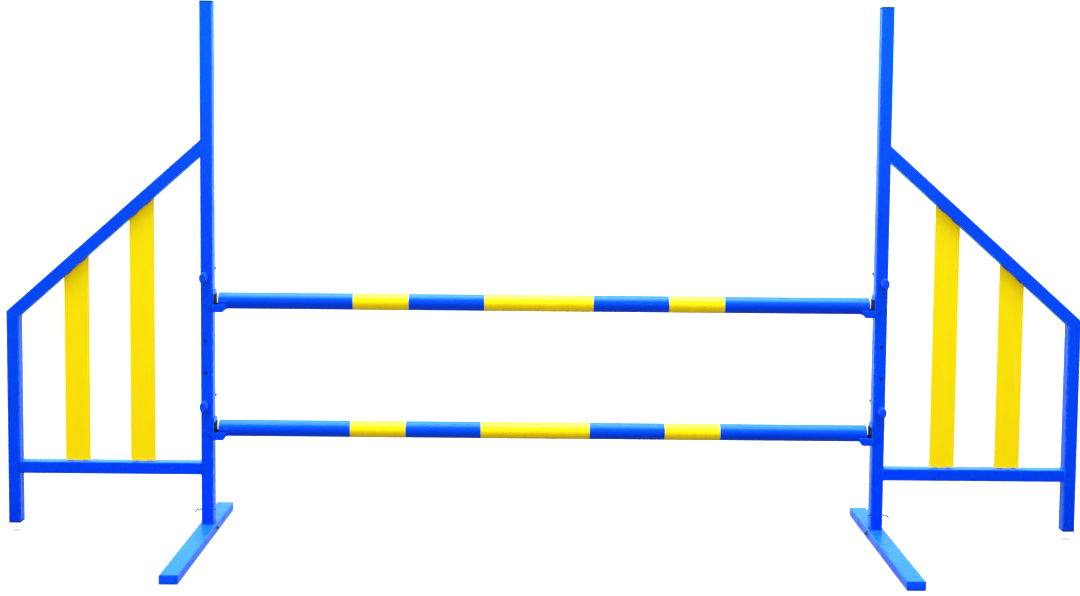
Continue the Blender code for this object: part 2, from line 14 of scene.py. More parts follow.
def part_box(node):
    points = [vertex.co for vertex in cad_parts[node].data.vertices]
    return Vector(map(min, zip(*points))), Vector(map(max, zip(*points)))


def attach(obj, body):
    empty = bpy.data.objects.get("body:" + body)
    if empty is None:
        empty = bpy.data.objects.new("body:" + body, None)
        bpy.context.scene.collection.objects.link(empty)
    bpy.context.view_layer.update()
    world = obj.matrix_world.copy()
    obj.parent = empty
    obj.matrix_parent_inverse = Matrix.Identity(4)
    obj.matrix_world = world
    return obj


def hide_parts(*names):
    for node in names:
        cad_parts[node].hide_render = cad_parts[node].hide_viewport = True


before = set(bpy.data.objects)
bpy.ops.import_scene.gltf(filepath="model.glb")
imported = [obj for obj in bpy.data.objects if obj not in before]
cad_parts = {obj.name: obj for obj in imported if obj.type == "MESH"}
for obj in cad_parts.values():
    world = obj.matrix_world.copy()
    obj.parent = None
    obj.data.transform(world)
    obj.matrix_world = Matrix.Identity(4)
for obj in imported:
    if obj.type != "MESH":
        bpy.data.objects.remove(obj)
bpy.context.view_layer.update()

# ---- sizes of the detail (metres) ----
GAP = 0.0003                # air between two pieces that touch
WALL = 0.0015               # square and rectangular tube
CORNER = 0.0025
CORNER_STEPS = 6
ARRIS = 0.0003              # softening of sawn tube ends
WORN_STRIP = 0.0009         # how far edge wear reaches onto a flat
END_RINGS = (0.0009, 0.003)
TUBE_CORNER_MIN = 0.0003

CAP_ROUND = 0.0013          # rounded rim of the plastic plugs
CAP_CROWN = 0.0003
CAP_PLUG = 0.012
CAP_CORNER_MIN = 0.0002
CAP_CROWN_STEPS = ((0.003, 0.7), (0.006, 1.0))    # inset, share of the crown

SLAT_T = 0.003
SLAT_ROUND = 0.0006
TACK_LENGTH = 0.013
TACK_INSET = 0.006
TACK_R = 0.0011

HOLE_R = 0.0036
HOLE_STEPS = (0, 0.25, 0.5, 1)      # from the lower bolt to the upper bolt
PIN_HOLE_R = 0.0021
PIN_R = 0.0016
PIN_INNER = 0.004           # straight ends of the pin beyond the upright's faces
PIN_OUTER = 0.008
PIN_BEND_R = 0.009
PIN_BEND = radians(75)
PIN_STEPS = 24
PIN_SIDES = 16
PIN_END_STEPS = 4
PIN_FLAT = 0.6              # how blunt the tail's end is

WELD_R = 0.0014
WELD_SUNK = 0.0005          # how far the weld's centre lies under the surface
WELD_RIPPLE = 0.0019
WELD_SIDES = 8
WELD_WEAR = 0.3
WELD_BODY, WELD_WAVE, WELD_JITTER = 0.86, 0.16, 0.03
WELD_TIP, WELD_TIP_STEP = 0.35, 0.2
SPIGOT = 0.023
SPIGOT_CORNER = 0.001
FOOT_WELD_R = 0.0012
FOOT_WELD_OFF = (0.0006, 0.0001)    # out from the upright, up from the foot
FOOT_WELD_ENDS = (0.004, 0.005)

PLATE = 0.0025              # sheet of the cups
PLATE_SOFT = 0.0006         # softened edges of the plates
PLATE_ROUND = 0.0022        # corners of their outlines
CHEEK_ROUND = 0.003
THIN_ROUND = 0.0003         # corners of the tray, soft edges of the painted-shade sheet
SHADE_SHEET_ROUND = 0.002
PLATE_STRIP = 0.0005        # wear along the plates' edges
PLATE_EDGE = 0.001
CUP_REACH = 0.0305
CUP_LIFT = 0.036
TRAY_HALF = 0.0178
LIP_TOP = -0.0077           # heights on a cup are measured from the bar's axis
LIP_BOTTOM = -0.025
LIP_NOSE = 0.009            # height of a lip's square tip
LIP_CUT = 0.007             # length of the slant below it
FLOOR_SHORT = 0.006
SHADE_SHEET_T = 0.0008              # thin dark sheet on the web, beside the bar's end: painted shade
SHADE_SHEET_TOP = 0.015
CHEEK_TOP = 0.025
CHEEK_TIP_Z = -0.005
CHEEK_REACH = 0.021
EAR_TOP = 0.008
STRAP_W = 0.022
INSET = 0.0004

KNOB_SIDES = 72
KNOB_LOBES = 8
KNOB_FLUTE = 0.0007
KNOB_COLLAR_R = 0.0065
KNOB_COLLAR = 0.005
BOLT_R = 0.003
THREAD = 0.001
THREAD_DEPTH = 0.00045
THREAD_TAPER = 0.0007
BOLT_THREAD = 0.019         # threaded lengths
FOOT_THREAD = 0.012
NUT_FLANGE_R = 0.008
NUT_FLANGE = 0.0014
NUT_HUB_R = 0.0062
NUT_HUB = 0.0094
WING_REACH = 0.0245
WING_T = 0.0044
WING_TURN = radians(48)
WING_ROUND = 0.002
NUT_VOXEL = 0.0004

FOOT_BOLT_R = 0.0025
HEX = 0.008                 # across the flats
HEX_HEAD = 0.0032
HEX_NUT = 0.004

BAR_SIDES = 96
BAR_WALL = 0.0025
TAPE = 0.00014
TAPE_LAP = radians(14)
TAPE_SEAM = radians(118)
TAPE_UNDER = 0.00002        # how far the tape's inside lies in the pipe
TAPE_WORN = 0.002           # worn width at the tape's ends
BAR_STATIONS = 24
BAR_END_RING = 0.01
STOPPER_DEPTH = 0.015
STOPPER_CHAMFER = 0.0006

ROUND_SIDES = 48            # round parts of the small fasteners

X, Y, Z = Vector((1, 0, 0)), Vector((0, 1, 0)), Vector((0, 0, 1))
SIDES = {"left": -1, "right": 1}
LEVELS = ("lower", "upper")
COAT = "blue_powder_coat"

# ---- light, floor and camera ----
CAMERA_PLACE = Vector((-0.020, -3.150, 0.995))
YAW = radians(0.14)
PITCH = radians(3.47)
ROLL = radians(0.54)
LENS = 47.53
SHIFT_Y = -0.10
WORLD_RAMPS = (             # direction axis, its range, and the light at both ends
    ("Y", -0.8, 0.1, 0.06, 1.0),
    ("Z", -0.45, -0.12, 0.34, 1.0),
    ("Z", 0.76, 0.95, 0.0, 9.0),
)
BACK_RANGE = (0.80, 0.92)   # of the direction's Y
BACK_TINT = (1.0, 2.0, 2.2)
OVERHEAD_TINT = (0.85, 1.15, 1.15)
FILL_TINT = (1.0, 0.93, 0.88)
FLOOR_HALF = 150.0
FLOOR_DROP = 0.0005
FLOOR_GLOW = 0.35
FLOOR_COLOURS = ((0.49, 0.385, 0.38), (0.51, 0.40, 0.395))
FLOOR_ROUGHNESS = 0.9
FILL_PLACE = (0.0, -4.5, 1.6)
FILL_TARGET = (0.0, 0.0, 0.6)
FILL_SIZE = (6.0, 3.0)
FILL_POWER = 185.0


# ---- finishes ----
class Graph:
    """A node tree, with short calls that add nodes to it."""

    def __init__(self, tree):
        self.tree = tree

    def put(self, socket, value):
        if isinstance(value, bpy.types.NodeSocket):
            self.tree.links.new(value, socket)
        else:
            socket.default_value = value

    def add(self, kind, inputs=None, **settings):
        node = self.tree.nodes.new(kind)
        for setting, value in settings.items():
            setattr(node, setting, value)
        for socket, value in (inputs or {}).items():
            self.put(node.inputs[socket], value)
        return node

    def spread(self, value, low, high, to_low=0.0, to_high=1.0):
        """Carries a value from one range to another and stops at its ends."""
        inputs = {"Value": value, "From Min": low, "From Max": high, "To Min": to_low, "To Max": to_high}
        return self.add("ShaderNodeMapRange", inputs).outputs["Result"]

    def math(self, operation, a, b):
        return self.add("ShaderNodeMath", {0: a, 1: b}, operation=operation).outputs[0]

    def blend(self, factor, a, b, mode="MIX"):
        """Mixes two colours, each a socket or a colour of three numbers."""
        colours = [c if isinstance(c, bpy.types.NodeSocket) else (*c, 1) for c in (a, b)]
        node = self.add("ShaderNodeMix", data_type="RGBA", blend_type=mode)
        for socket, value in zip((node.inputs[0], node.inputs[6], node.inputs[7]), (factor, *colours)):
            self.put(socket, value)
        return node.outputs[2]


class Finish(Graph):
    """A procedural material that is built up in layers."""

    def __init__(self, name, metallic=0.0, **constants):
        self.material = bpy.data.materials.new(name)
        self.material.use_nodes = True
        super().__init__(self.material.node_tree)
        self.shader = self.tree.nodes["Principled BSDF"]
        self.shader.inputs["Metallic"].default_value = metallic
        for socket, value in constants.items():
            self.shader.inputs[socket.replace("_", " ")].default_value = value
        self.place = self.add("ShaderNodeTexCoord").outputs["Object"]
        self.normal = self.colour = self.roughness = None

    def cover(self, mask, colour, mode="MIX"):
        """Lays a colour over the finish where the mask is high."""
        self.colour = self.blend(mask, self.colour, colour, mode)

    def tint(self, mask, amount, colour):
        self.cover(self.math("MULTIPLY", mask, amount), colour)

    def rougher(self, mask, amount):
        self.roughness = self.math("ADD", self.roughness, self.math("MULTIPLY", mask, amount))

    def patches(self, scale, detail, *ends):
        """Noise carried to the given ends."""
        return self.spread(self.noise(scale, detail), *ends)

    def done(self):
        self.put(self.shader.inputs["Base Color"], self.colour)
        self.put(self.shader.inputs["Roughness"], self.roughness)
        if self.normal:
            self.put(self.shader.inputs["Normal"], self.normal)
        return self.material

    def noise(self, scale, detail=2.0, stretch=None):
        place = self.place
        if stretch:
            place = self.add("ShaderNodeMapping", {"Vector": place, "Scale": stretch}).outputs[0]
        inputs = {"Vector": place, "Scale": scale, "Detail": detail}
        return self.add("ShaderNodeTexNoise", inputs).outputs["Fac"]

    def height(self):
        return self.add("ShaderNodeSeparateXYZ", {0: self.place}).outputs["Z"]

    def attribute(self, name):
        return self.add("ShaderNodeAttribute", attribute_name=name).outputs["Fac"]

    def upward(self, low, high):
        """How far a surface faces up, from 0 to 1."""
        normal = self.add("ShaderNodeNewGeometry").outputs["Normal"]
        return self.spread(self.add("ShaderNodeSeparateXYZ", {0: normal}).outputs["Z"], low, high)

    def bump(self, height, strength, distance):
        """Each bump lies on top of the one before."""
        node = self.add("ShaderNodeBump", {"Height": height, "Strength": strength, "Distance": distance})
        if self.normal:
            self.put(node.inputs["Normal"], self.normal)
        self.normal = node.outputs["Normal"]


def powder_coat():
    """Baked blue powder: orange peel, paler along thin edges, faint scuffs, dust by the ground."""
    look = Finish("blue_powder_coat", Specular_IOR_Level=0.11)
    z = look.height()
    # Lighter blue higher up on the frame: painted light falling from above.
    look.colour = look.blend(look.spread(z, 0.05, 0.36), (0.0005, 0.040, 0.84), (0.0006, 0.059, 0.90))
    look.cover(look.spread(z, 0.75, 1.15), (0.0008, 0.112, 0.96))
    cloud = look.patches(9.0, 3.0, 0.3, 0.7, 0.94, 1.06)
    grain = look.patches(1300.0, 1.0, 0.35, 0.65, 0.95, 1.05)
    shade = look.math("MULTIPLY", cloud, grain)
    grey = look.add("ShaderNodeCombineColor", {0: shade, 1: shade, 2: shade}).outputs[0]
    look.cover(1.0, grey, "MULTIPLY")
    # Paler blue on upward faces: painted light from above.
    look.cover(look.upward(0.6, 1.0), (0.002, 0.105, 0.92))
    # Darker blue patches low on the tubes, just above the foot: painted shade where they meet it.
    joint_shade = look.math("MULTIPLY", look.spread(z, 0.060, 0.038), look.patches(95.0, 3.0, 0.42, 0.56))
    above_foot = look.spread(z, 0.0205, 0.0215, 0.0, 0.5)
    look.tint(joint_shade, above_foot, (0.0004, 0.018, 0.50))
    edge = look.attribute("edge")
    thin_coat_and_edge_shade = look.math("MULTIPLY", edge, look.patches(140.0, 3.0, 0.42, 0.6, 0.1, 0.55))
    look.cover(thin_coat_and_edge_shade, (0.004, 0.17, 0.98))
    chips = look.math("MULTIPLY", edge, look.patches(420.0, 2.0, 0.78, 0.80))
    look.cover(chips, (0.10, 0.16, 0.30))
    streaks = look.spread(look.noise(60.0, 4.0, (4.0, 4.0, 0.35)), 0.66, 0.74)
    look.tint(streaks, 0.16, (0.05, 0.25, 0.95))
    dust = look.math("MULTIPLY", look.spread(z, 0.028, 0.0), look.patches(55.0, 4.0, 0.4, 0.8))
    look.tint(dust, 0.12, (0.42, 0.42, 0.44))
    look.roughness = look.patches(26.0, 4.0, 0.3, 0.7, 0.22, 0.34)
    look.rougher(streaks, 0.12)
    look.rougher(dust, 0.3)
    look.bump(look.noise(85.0, 2.0), 0.10, 0.0006)
    look.bump(look.noise(620.0, 2.0), 0.16, 0.00025)
    look.bump(chips, -0.5, 0.0001)
    return look.done()


def pipe_blue():
    """Glossy extruded pipe: lengthwise die lines, fine scratches, rubbed where it lies in the cups."""
    look = Finish("blue_pipe", Specular_IOR_Level=0.13)
    cloud = look.spread(look.noise(7.0, 3.0, (0.5, 3.0, 3.0)), 0.3, 0.7)
    look.colour = look.blend(cloud, (0.0006, 0.048, 0.80), (0.0008, 0.060, 0.90))
    lines = look.noise(260.0, 2.0, (0.012, 1.0, 1.0))
    look.cover(look.spread(lines, 0.62, 0.74, 0.0, 0.10), (0.02, 0.18, 0.95))
    scratches = look.spread(look.noise(420.0, 3.0, (0.035, 1.0, 0.6)), 0.69, 0.73)
    look.tint(scratches, 0.22, (0.10, 0.28, 0.90))
    x = look.math("ABSOLUTE", look.add("ShaderNodeSeparateXYZ", {0: look.place}).outputs["X"], 0.0)
    rubbed = look.math("MULTIPLY", look.spread(x, 0.716, 0.728),
                       look.spread(look.noise(190.0, 4.0, (0.3, 1.0, 1.0)), 0.5, 0.72))
    look.tint(rubbed, 0.16, (0.14, 0.27, 0.62))
    # Paler blue on the pipe's upper side: painted light from above.
    look.cover(look.upward(0.2, 0.9), (0.002, 0.13, 0.92))
    look.roughness = look.spread(look.noise(34.0, 4.0, (0.3, 1.0, 1.0)), 0.3, 0.7, 0.13, 0.22)
    look.rougher(scratches, 0.15)
    look.rougher(rubbed, 0.25)
    look.bump(lines, 0.05, 0.0004)
    look.bump(scratches, -0.12, 0.0001)
    return look.done()


def moulded(name, dark, light, roughness, specular):
    """Moulded plastic with a spark-eroded grain and a few handling marks."""
    look = Finish(name, Specular_IOR_Level=specular)
    cloud = look.patches(70.0, 3.0, 0.3, 0.7)
    look.colour = look.blend(cloud, dark, light)
    marks = look.spread(look.noise(310.0, 4.0, (1.0, 0.3, 1.0)), 0.66, 0.74)
    look.tint(marks, 0.12, (0.45, 0.5, 0.6))
    look.roughness = look.patches(160.0, 3.0, 0.3, 0.7, roughness - 0.06, roughness + 0.08)
    look.bump(look.noise(2100.0, 2.0), 0.22, 0.00012)
    look.bump(look.noise(190.0, 1.0), 0.05, 0.0003)
    look.rougher(marks, 0.1)
    return look.done()


def yellow_paint():
    """Satin paint on flat steel: lighter higher up as painted light, soft runs along the strip, painted
    shade along the edges, faint scuffs.
    """
    look = Finish("yellow_paint", Specular_IOR_Level=0.2)
    z = look.height()
    # Lighter yellow higher up: painted light falling from above.
    look.colour = look.blend(look.spread(z, 0.15, 0.85), (0.98, 0.69, 0.0008), (1.0, 0.80, 0.0010))
    runs = look.spread(look.noise(42.0, 3.0, (1.0, 1.0, 0.22)), 0.3, 0.7, 0.0, 0.35)
    look.cover(runs, (0.95, 0.66, 0.001))
    edge = look.attribute("edge")
    # Darker orange along the slats' edges: painted shade.
    thin_coat_and_edge_shade = look.math("MULTIPLY", edge, look.patches(150.0, 3.0, 0.45, 0.62, 0.1, 0.5))
    look.cover(thin_coat_and_edge_shade, (0.82, 0.52, 0.010))
    chips = look.math("MULTIPLY", edge, look.patches(380.0, 2.0, 0.73, 0.75))
    look.cover(chips, (0.30, 0.30, 0.31))
    scuffs = look.spread(look.noise(75.0, 4.0, (1.0, 1.0, 0.12)), 0.67, 0.75)
    look.tint(scuffs, 0.16, (0.98, 0.86, 0.30))
    look.roughness = look.patches(30.0, 4.0, 0.3, 0.7, 0.30, 0.42)
    look.rougher(scuffs, 0.1)
    look.bump(look.noise(95.0, 2.0, (1.0, 1.0, 0.4)), 0.10, 0.0005)
    look.bump(look.noise(700.0, 2.0), 0.12, 0.0002)
    return look.done()


def yellow_tape():
    """Vinyl tape wound on the bar: slight drag lines round the bar, tiny bubbles, grubby edges."""
    look = Finish("yellow_tape", Specular_IOR_Level=0.25)
    drag = look.noise(120.0, 3.0, (1.0, 0.08, 0.08))
    look.colour = look.blend(look.spread(drag, 0.35, 0.65), (0.97, 0.68, 0.0012), (1.0, 0.76, 0.0018))
    grime = look.math("MULTIPLY", look.attribute("edge"), look.patches(230.0, 3.0, 0.35, 0.7))
    look.tint(grime, 0.5, (0.45, 0.30, 0.02))
    marks = look.spread(look.noise(150.0, 4.0, (0.25, 1.0, 1.0)), 0.68, 0.76)
    look.tint(marks, 0.2, (0.55, 0.42, 0.06))
    look.roughness = look.patches(60.0, 3.0, 0.3, 0.7, 0.17, 0.27)
    bubbles = look.patches(330.0, 1.0, 0.70, 0.78)
    look.bump(drag, 0.08, 0.0003)
    look.bump(bubbles, 0.3, 0.00012)
    look.rougher(marks, 0.15)
    return look.done()


def plated(name, dark, light, rubbed, roughness):
    """Plated or blackened steel: mottled, brushed fine, brighter where fingers and spanners rub."""
    look = Finish(name, metallic=1.0)
    cloud = look.patches(240.0, 4.0, 0.35, 0.65)
    look.colour = look.blend(cloud, dark, light)
    worn = look.spread(look.add("ShaderNodeNewGeometry").outputs["Pointiness"], 0.52, 0.60)
    worn = look.math("MULTIPLY", worn, look.patches(900.0, 2.0, 0.35, 0.6))
    look.tint(worn, 0.8, rubbed)
    look.roughness = look.patches(420.0, 3.0, 0.3, 0.7, roughness - 0.08, roughness + 0.1)
    look.bump(look.noise(1500.0, 2.0), 0.15, 0.0001)
    return look.done()


FINISHES = {
    "blue_powder_coat": powder_coat(),
    "blue_plastic": moulded("blue_plastic", (0.001, 0.055, 0.84), (0.0015, 0.078, 0.94), 0.36, 0.2),
    "blue_pipe": pipe_blue(),
    "yellow_paint": yellow_paint(),
    "yellow_tape": yellow_tape(),
    "black_plastic": moulded("black_plastic", (0.006, 0.007, 0.014), (0.012, 0.013, 0.022), 0.55, 0.02),
    "zinc": plated("zinc", (0.10, 0.15, 0.27), (0.20, 0.26, 0.40), (0.55, 0.60, 0.70), 0.32),
    "dark_steel": plated("dark_steel", (0.030, 0.032, 0.038), (0.065, 0.068, 0.078),
                         (0.32, 0.33, 0.35), 0.40),
}


# ---- mesh helpers; "edge" is 1 where a corner wears and 0 on a flat ----
def new_mesh():
    bm = bmesh.new()
    bm.verts.layers.float.new("edge")
    return bm


def make_vert(bm, place, wear):
    vert = bm.verts.new(place)
    vert[bm.verts.layers.float["edge"]] = wear
    return vert


def to_mesh(name, bm):
    mesh = bpy.data.meshes.new(name)
    bm.to_mesh(mesh)
    bm.free()
    return mesh


def place_in_scene(name, data):
    obj = bpy.data.objects.new(name, data)
    bpy.context.scene.collection.objects.link(obj)
    return obj


def show(name, bm, slot, body, stands_for=(), sharp=35):
    """Turns a mesh into a piece that rides on a body and takes a slot's finish."""
    bmesh.ops.recalc_face_normals(bm, faces=bm.faces)
    obj = place_in_scene(name, to_mesh(name, bm))
    dress(obj, slot, sharp)
    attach(obj, body)
    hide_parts(*stands_for)
    return obj


def dress(obj, slot, sharp=35):
    mesh = obj.data
    mesh.materials.clear()
    mesh.materials.append(FINISHES[slot])
    mesh.shade_smooth()
    mesh.set_sharp_from_angle(angle=radians(sharp))


def apply_steps(obj):
    """Leaves the object with the mesh that its modifiers make."""
    graph = bpy.context.evaluated_depsgraph_get()
    made = bpy.data.meshes.new_from_object(obj.evaluated_get(graph), depsgraph=graph)
    obj.modifiers.clear()
    obj.data = made


def cut(obj, tool_bm):
    """Cuts a mesh out of an object for good."""
    bmesh.ops.recalc_face_normals(tool_bm, faces=tool_bm.faces)
    tool = place_in_scene("tool", to_mesh("tool", tool_bm))
    step = obj.modifiers.new("cut", "BOOLEAN")
    step.operation = "DIFFERENCE"
    step.solver = "EXACT"
    step.object = tool
    apply_steps(obj)
    bpy.data.objects.remove(tool)


def rounded_rectangle(width, depth, radius, steps=CORNER_STEPS, strip=WORN_STRIP):
    """Outline of (across, up, wear): worn arcs, with an unworn point on each flat beside them."""
    points = []
    for sx, sy, start in ((1, 1, 0), (-1, 1, 90), (-1, -1, 180), (1, -1, 270)):
        centre = Vector((sx * (width / 2 - radius), sy * (depth / 2 - radius)))
        arc = []
        for i in range(steps + 1):
            angle = radians(start + 90 * i / steps)
            arc.append(centre + radius * Vector((cos(angle), sin(angle))))
        first, last = radians(start), radians(start + 90)
        before = arc[0] + strip * Vector((sin(first), -cos(first)))
        after = arc[-1] + strip * Vector((-sin(last), cos(last)))
        points.append((*before, 0.0))
        points += [(*p, 1.0) for p in arc]
        points.append((*after, 0.0))
    return points


def circle(radius, count=ROUND_SIDES, wear=0.0):
    return [(radius * cos(tau * i / count), radius * sin(tau * i / count), wear)
            for i in range(count)]


def hexagon(across_flats, count=ROUND_SIDES):
    """Points along a hexagon's sides, spaced to pair with a circle of the same count."""
    points = []
    for i in range(count):
        angle = tau * i / count
        off = (angle + pi / 6) % (pi / 3) - pi / 6
        radius = across_flats / 2 / cos(off)
        points.append((radius * cos(angle), radius * sin(angle), 0.0))
    return points


def ring(bm, outline, centre, across, up, wear=0.0):
    return [make_vert(bm, centre + across * a + up * b, max(w, wear)) for a, b, w in outline]


def bridge(bm, ring_a, ring_b):
    count = len(ring_a)
    for i in range(count):
        bm.faces.new((ring_a[i], ring_a[(i + 1) % count], ring_b[(i + 1) % count], ring_b[i]))


def bridge_all(bm, rings):
    for ring_a, ring_b in zip(rings, rings[1:]):
        bridge(bm, ring_a, ring_b)


def close_ends(bm, rings):
    bm.faces.new(rings[0])
    bm.faces.new(rings[-1])


def skin(bm, rings):
    """Joins rings into a closed solid."""
    bridge_all(bm, rings)
    close_ends(bm, rings)


def loft(bm, sections, base, axis, across, up):
    """A closed solid through (distance along the axis, outline) sections."""
    skin(bm, [ring(bm, outline, base + axis * at, across, up) for at, outline in sections])


def lathe_sections(profile, count):
    return [(at, circle(radius, count)) for at, radius in profile]


def arc_profile(at, radius, size, steps, start, end):
    """Points of (distance, radius) along an arc; 0 degrees points outwards and 90 along the axis."""
    points = []
    for i in range(steps + 1):
        angle = radians(start + (end - start) * i / steps)
        points.append((at + size * sin(angle), radius + size * cos(angle)))
    return points


class Run:
    """A straight tube or strip between two planes, given by its centre line and cross-section."""

    def __init__(self, centre, axis, across, up, size, start, end, corner=CORNER):
        self.centre, self.axis, self.across, self.up = centre, axis, across, up
        self.size, self.corner = size, corner
        self.start, self.end = start, end

    def points(self, plane, shift=0.0, shrink=0.0):
        """The outline where a plane cuts the run, moved along it, as (place, wear)."""
        width, depth = self.size[0] - 2 * shrink, self.size[1] - 2 * shrink
        radius = max(self.corner - shrink, TUBE_CORNER_MIN)
        point, normal = plane
        made = []
        for a, b, wear in rounded_rectangle(width, depth, radius):
            on_line = self.centre + self.across * a + self.up * b
            along = (point - on_line).dot(normal) / self.axis.dot(normal)
            made.append((on_line + self.axis * (along + shift), wear))
        return made

    def ring(self, bm, plane, shift=0.0, shrink=0.0, wear=0.0):
        return [make_vert(bm, place, max(w, wear)) for place, w in self.points(plane, shift, shrink)]

    def build(self, bm, wall=None, arris=ARRIS):
        near, far = END_RINGS
        rings = [self.ring(bm, self.start, 0, arris, 1), self.ring(bm, self.start, arris, 0, 1),
                 self.ring(bm, self.start, near), self.ring(bm, self.start, far),
                 self.ring(bm, self.end, -far), self.ring(bm, self.end, -near),
                 self.ring(bm, self.end, -arris, 0, 1), self.ring(bm, self.end, 0, arris, 1)]
        bridge_all(bm, rings)
        if wall is None:
            close_ends(bm, rings)
            return
        inner = [self.ring(bm, plane, 0, wall) for plane in (self.start, self.end)]
        bridge(bm, inner[0], inner[1])
        bridge(bm, rings[0], inner[0])
        bridge(bm, rings[-1], inner[1])


def weld(bm, path, normal, radius=WELD_R, closed=True, seed=1):
    """A rippled bead along a path that lies in a plane with the given normal."""
    chance = random.Random(seed)
    legs = list(zip(path, path[1:] + path[:1])) if closed else list(zip(path, path[1:]))
    spots = []
    for start, end in legs:
        length = (end - start).length
        steps = max(1, round(length / (WELD_RIPPLE / 4)))
        spots += [start.lerp(end, i / steps) for i in range(steps)]
    if not closed:
        spots.append(path[-1])
    count = len(spots)
    rings = []
    travelled = 0.0
    for i, spot in enumerate(spots):
        after = spots[(i + 1) % count] if closed or i + 1 < count else spot
        before = spots[i - 1] if closed or i > 0 else spot
        tangent = (after - before).normalized()
        out = tangent.cross(normal)
        travelled += (spot - spots[i - 1]).length if i else 0.0
        wave = abs(sin(pi * travelled / WELD_RIPPLE))
        size = radius * (WELD_BODY + WELD_WAVE * wave + chance.uniform(-WELD_JITTER, WELD_JITTER))
        if not closed:
            size *= min(1.0, WELD_TIP + WELD_TIP_STEP * min(i, count - 1 - i))
        rings.append(ring(bm, circle(size, WELD_SIDES), spot, normal, out, WELD_WEAR))
    bridge_all(bm, rings)
    if closed:
        bridge(bm, rings[-1], rings[0])
    else:
        close_ends(bm, rings)


def end_plug(bm, base, axis, across, up, size, flange, corner):
    """A push-in plug: its insert, then a flange with a rounded rim and a slight crown."""
    def outline(shrink):
        radius = max(corner - shrink, CAP_CORNER_MIN)
        return rounded_rectangle(size[0] - 2 * shrink, size[1] - 2 * shrink, radius)

    insert = outline(WALL + GAP)
    sections = [(-CAP_PLUG, insert), (GAP, insert), (GAP, outline(0))]
    for i in range(5):
        angle = radians(90 * i / 4)
        rise, pull = CAP_ROUND * (1 - sin(angle)), CAP_ROUND * (1 - cos(angle))
        sections.append((flange - rise, outline(pull)))
    for inset, share in CAP_CROWN_STEPS:
        sections.append((flange + CAP_CROWN * share, outline(inset)))
    loft(bm, sections, base, axis, across, up)


def rod(bm, centre, axis, across, radius, length, count=40):
    sections = [(-length / 2, circle(radius, count)), (length / 2, circle(radius, count))]
    loft(bm, sections, centre, axis, across, axis.cross(across))


def threads(bm, base, axis, across, up, length, plain, radius, count=28):
    """A rod, plain and then with a helical thread up to a tapered tip."""
    rings = [ring(bm, circle(radius, count), base, across, up),
             ring(bm, circle(radius, count), base + axis * plain, across, up)]
    steps = int((length - plain) / (THREAD / 8))
    for i in range(1, steps + 1):
        at = plain + (length - plain) * i / steps
        taper = max(0.0, 1 - (length - at) / THREAD) * THREAD_TAPER
        outline = []
        for k in range(count):
            phase = (at / THREAD - k / count) % 1
            depth = THREAD_DEPTH * abs(2 * phase - 1) * min(1.0, (at - plain) / THREAD)
            size = radius - depth - taper
            angle = tau * k / count
            outline.append((size * cos(angle), size * sin(angle), 0.0))
        rings.append(ring(bm, outline, base + axis * at, across, up))
    skin(bm, rings)


def middle(node):
    low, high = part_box(node)
    return (low + high) / 2


# ---- the wings ----
class Wing:
    """Places shared by one wing's pieces, worked out from its nodes' boxes."""

    def __init__(self, name, side):
        self.name, self.side = name, side
        self.body = f"{name}_wing"
        low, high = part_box(f"{name}_upright")
        self.post = Vector(((low.x + high.x) / 2, (low.y + high.y) / 2, 0))
        self.low, self.high = low, high
        self.tube = high.x - low.x
        self.outer_face = self.post.x + side * self.tube / 2
        leg_low, leg_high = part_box(f"{name}_leg")
        rail_low, rail_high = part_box(f"{name}_sloped_rail")
        self.leg_bottom = leg_low.z
        self.edge = leg_high.x if side > 0 else leg_low.x
        self.shoulder = Vector((self.edge, self.post.y, leg_high.z + GAP / 2))
        run = abs(self.edge - self.outer_face)
        self.slope = atan2(rail_high.z - self.shoulder.z, run)
        self.slope_up = Vector((-side * cos(self.slope), 0, sin(self.slope)))
        self.slope_out = Vector((side * sin(self.slope), 0, cos(self.slope)))
        self.mitre = (self.slope_up + Z).normalized()
        square = (self.tube, self.tube)
        upright_plane = (Vector((self.outer_face + side * GAP, 0, 0)), X)
        self.upright_run = Run(self.post, Z, X, Y, square, (low, Z), (high, Z))
        leg_centre = Vector((self.edge - side * self.tube / 2, self.post.y, 0))
        self.leg_run = Run(leg_centre, Z, X, Y, square, (leg_low, Z),
                           (self.shoulder - self.mitre * GAP / 2, self.mitre))
        self.rail_run = Run(self.shoulder - self.slope_out * self.tube / 2, self.slope_up, self.slope_out, Y,
                            square, (self.shoulder + self.mitre * GAP / 2, self.mitre), upright_plane)
        bottom = middle(f"{name}_bottom_rail")
        leg_plane = (Vector((self.edge - side * (self.tube + GAP), 0, 0)), X)
        self.bottom_run = Run(bottom, X, Y, Z, square, upright_plane, leg_plane)

    def node(self, part):
        return f"{self.name}_{part}"

    def show(self, name, bm, slot, part):
        """Shows a mesh that rides on the wing and stands for one of its nodes."""
        return show(self.node(name), bm, slot, self.body, [self.node(part)])


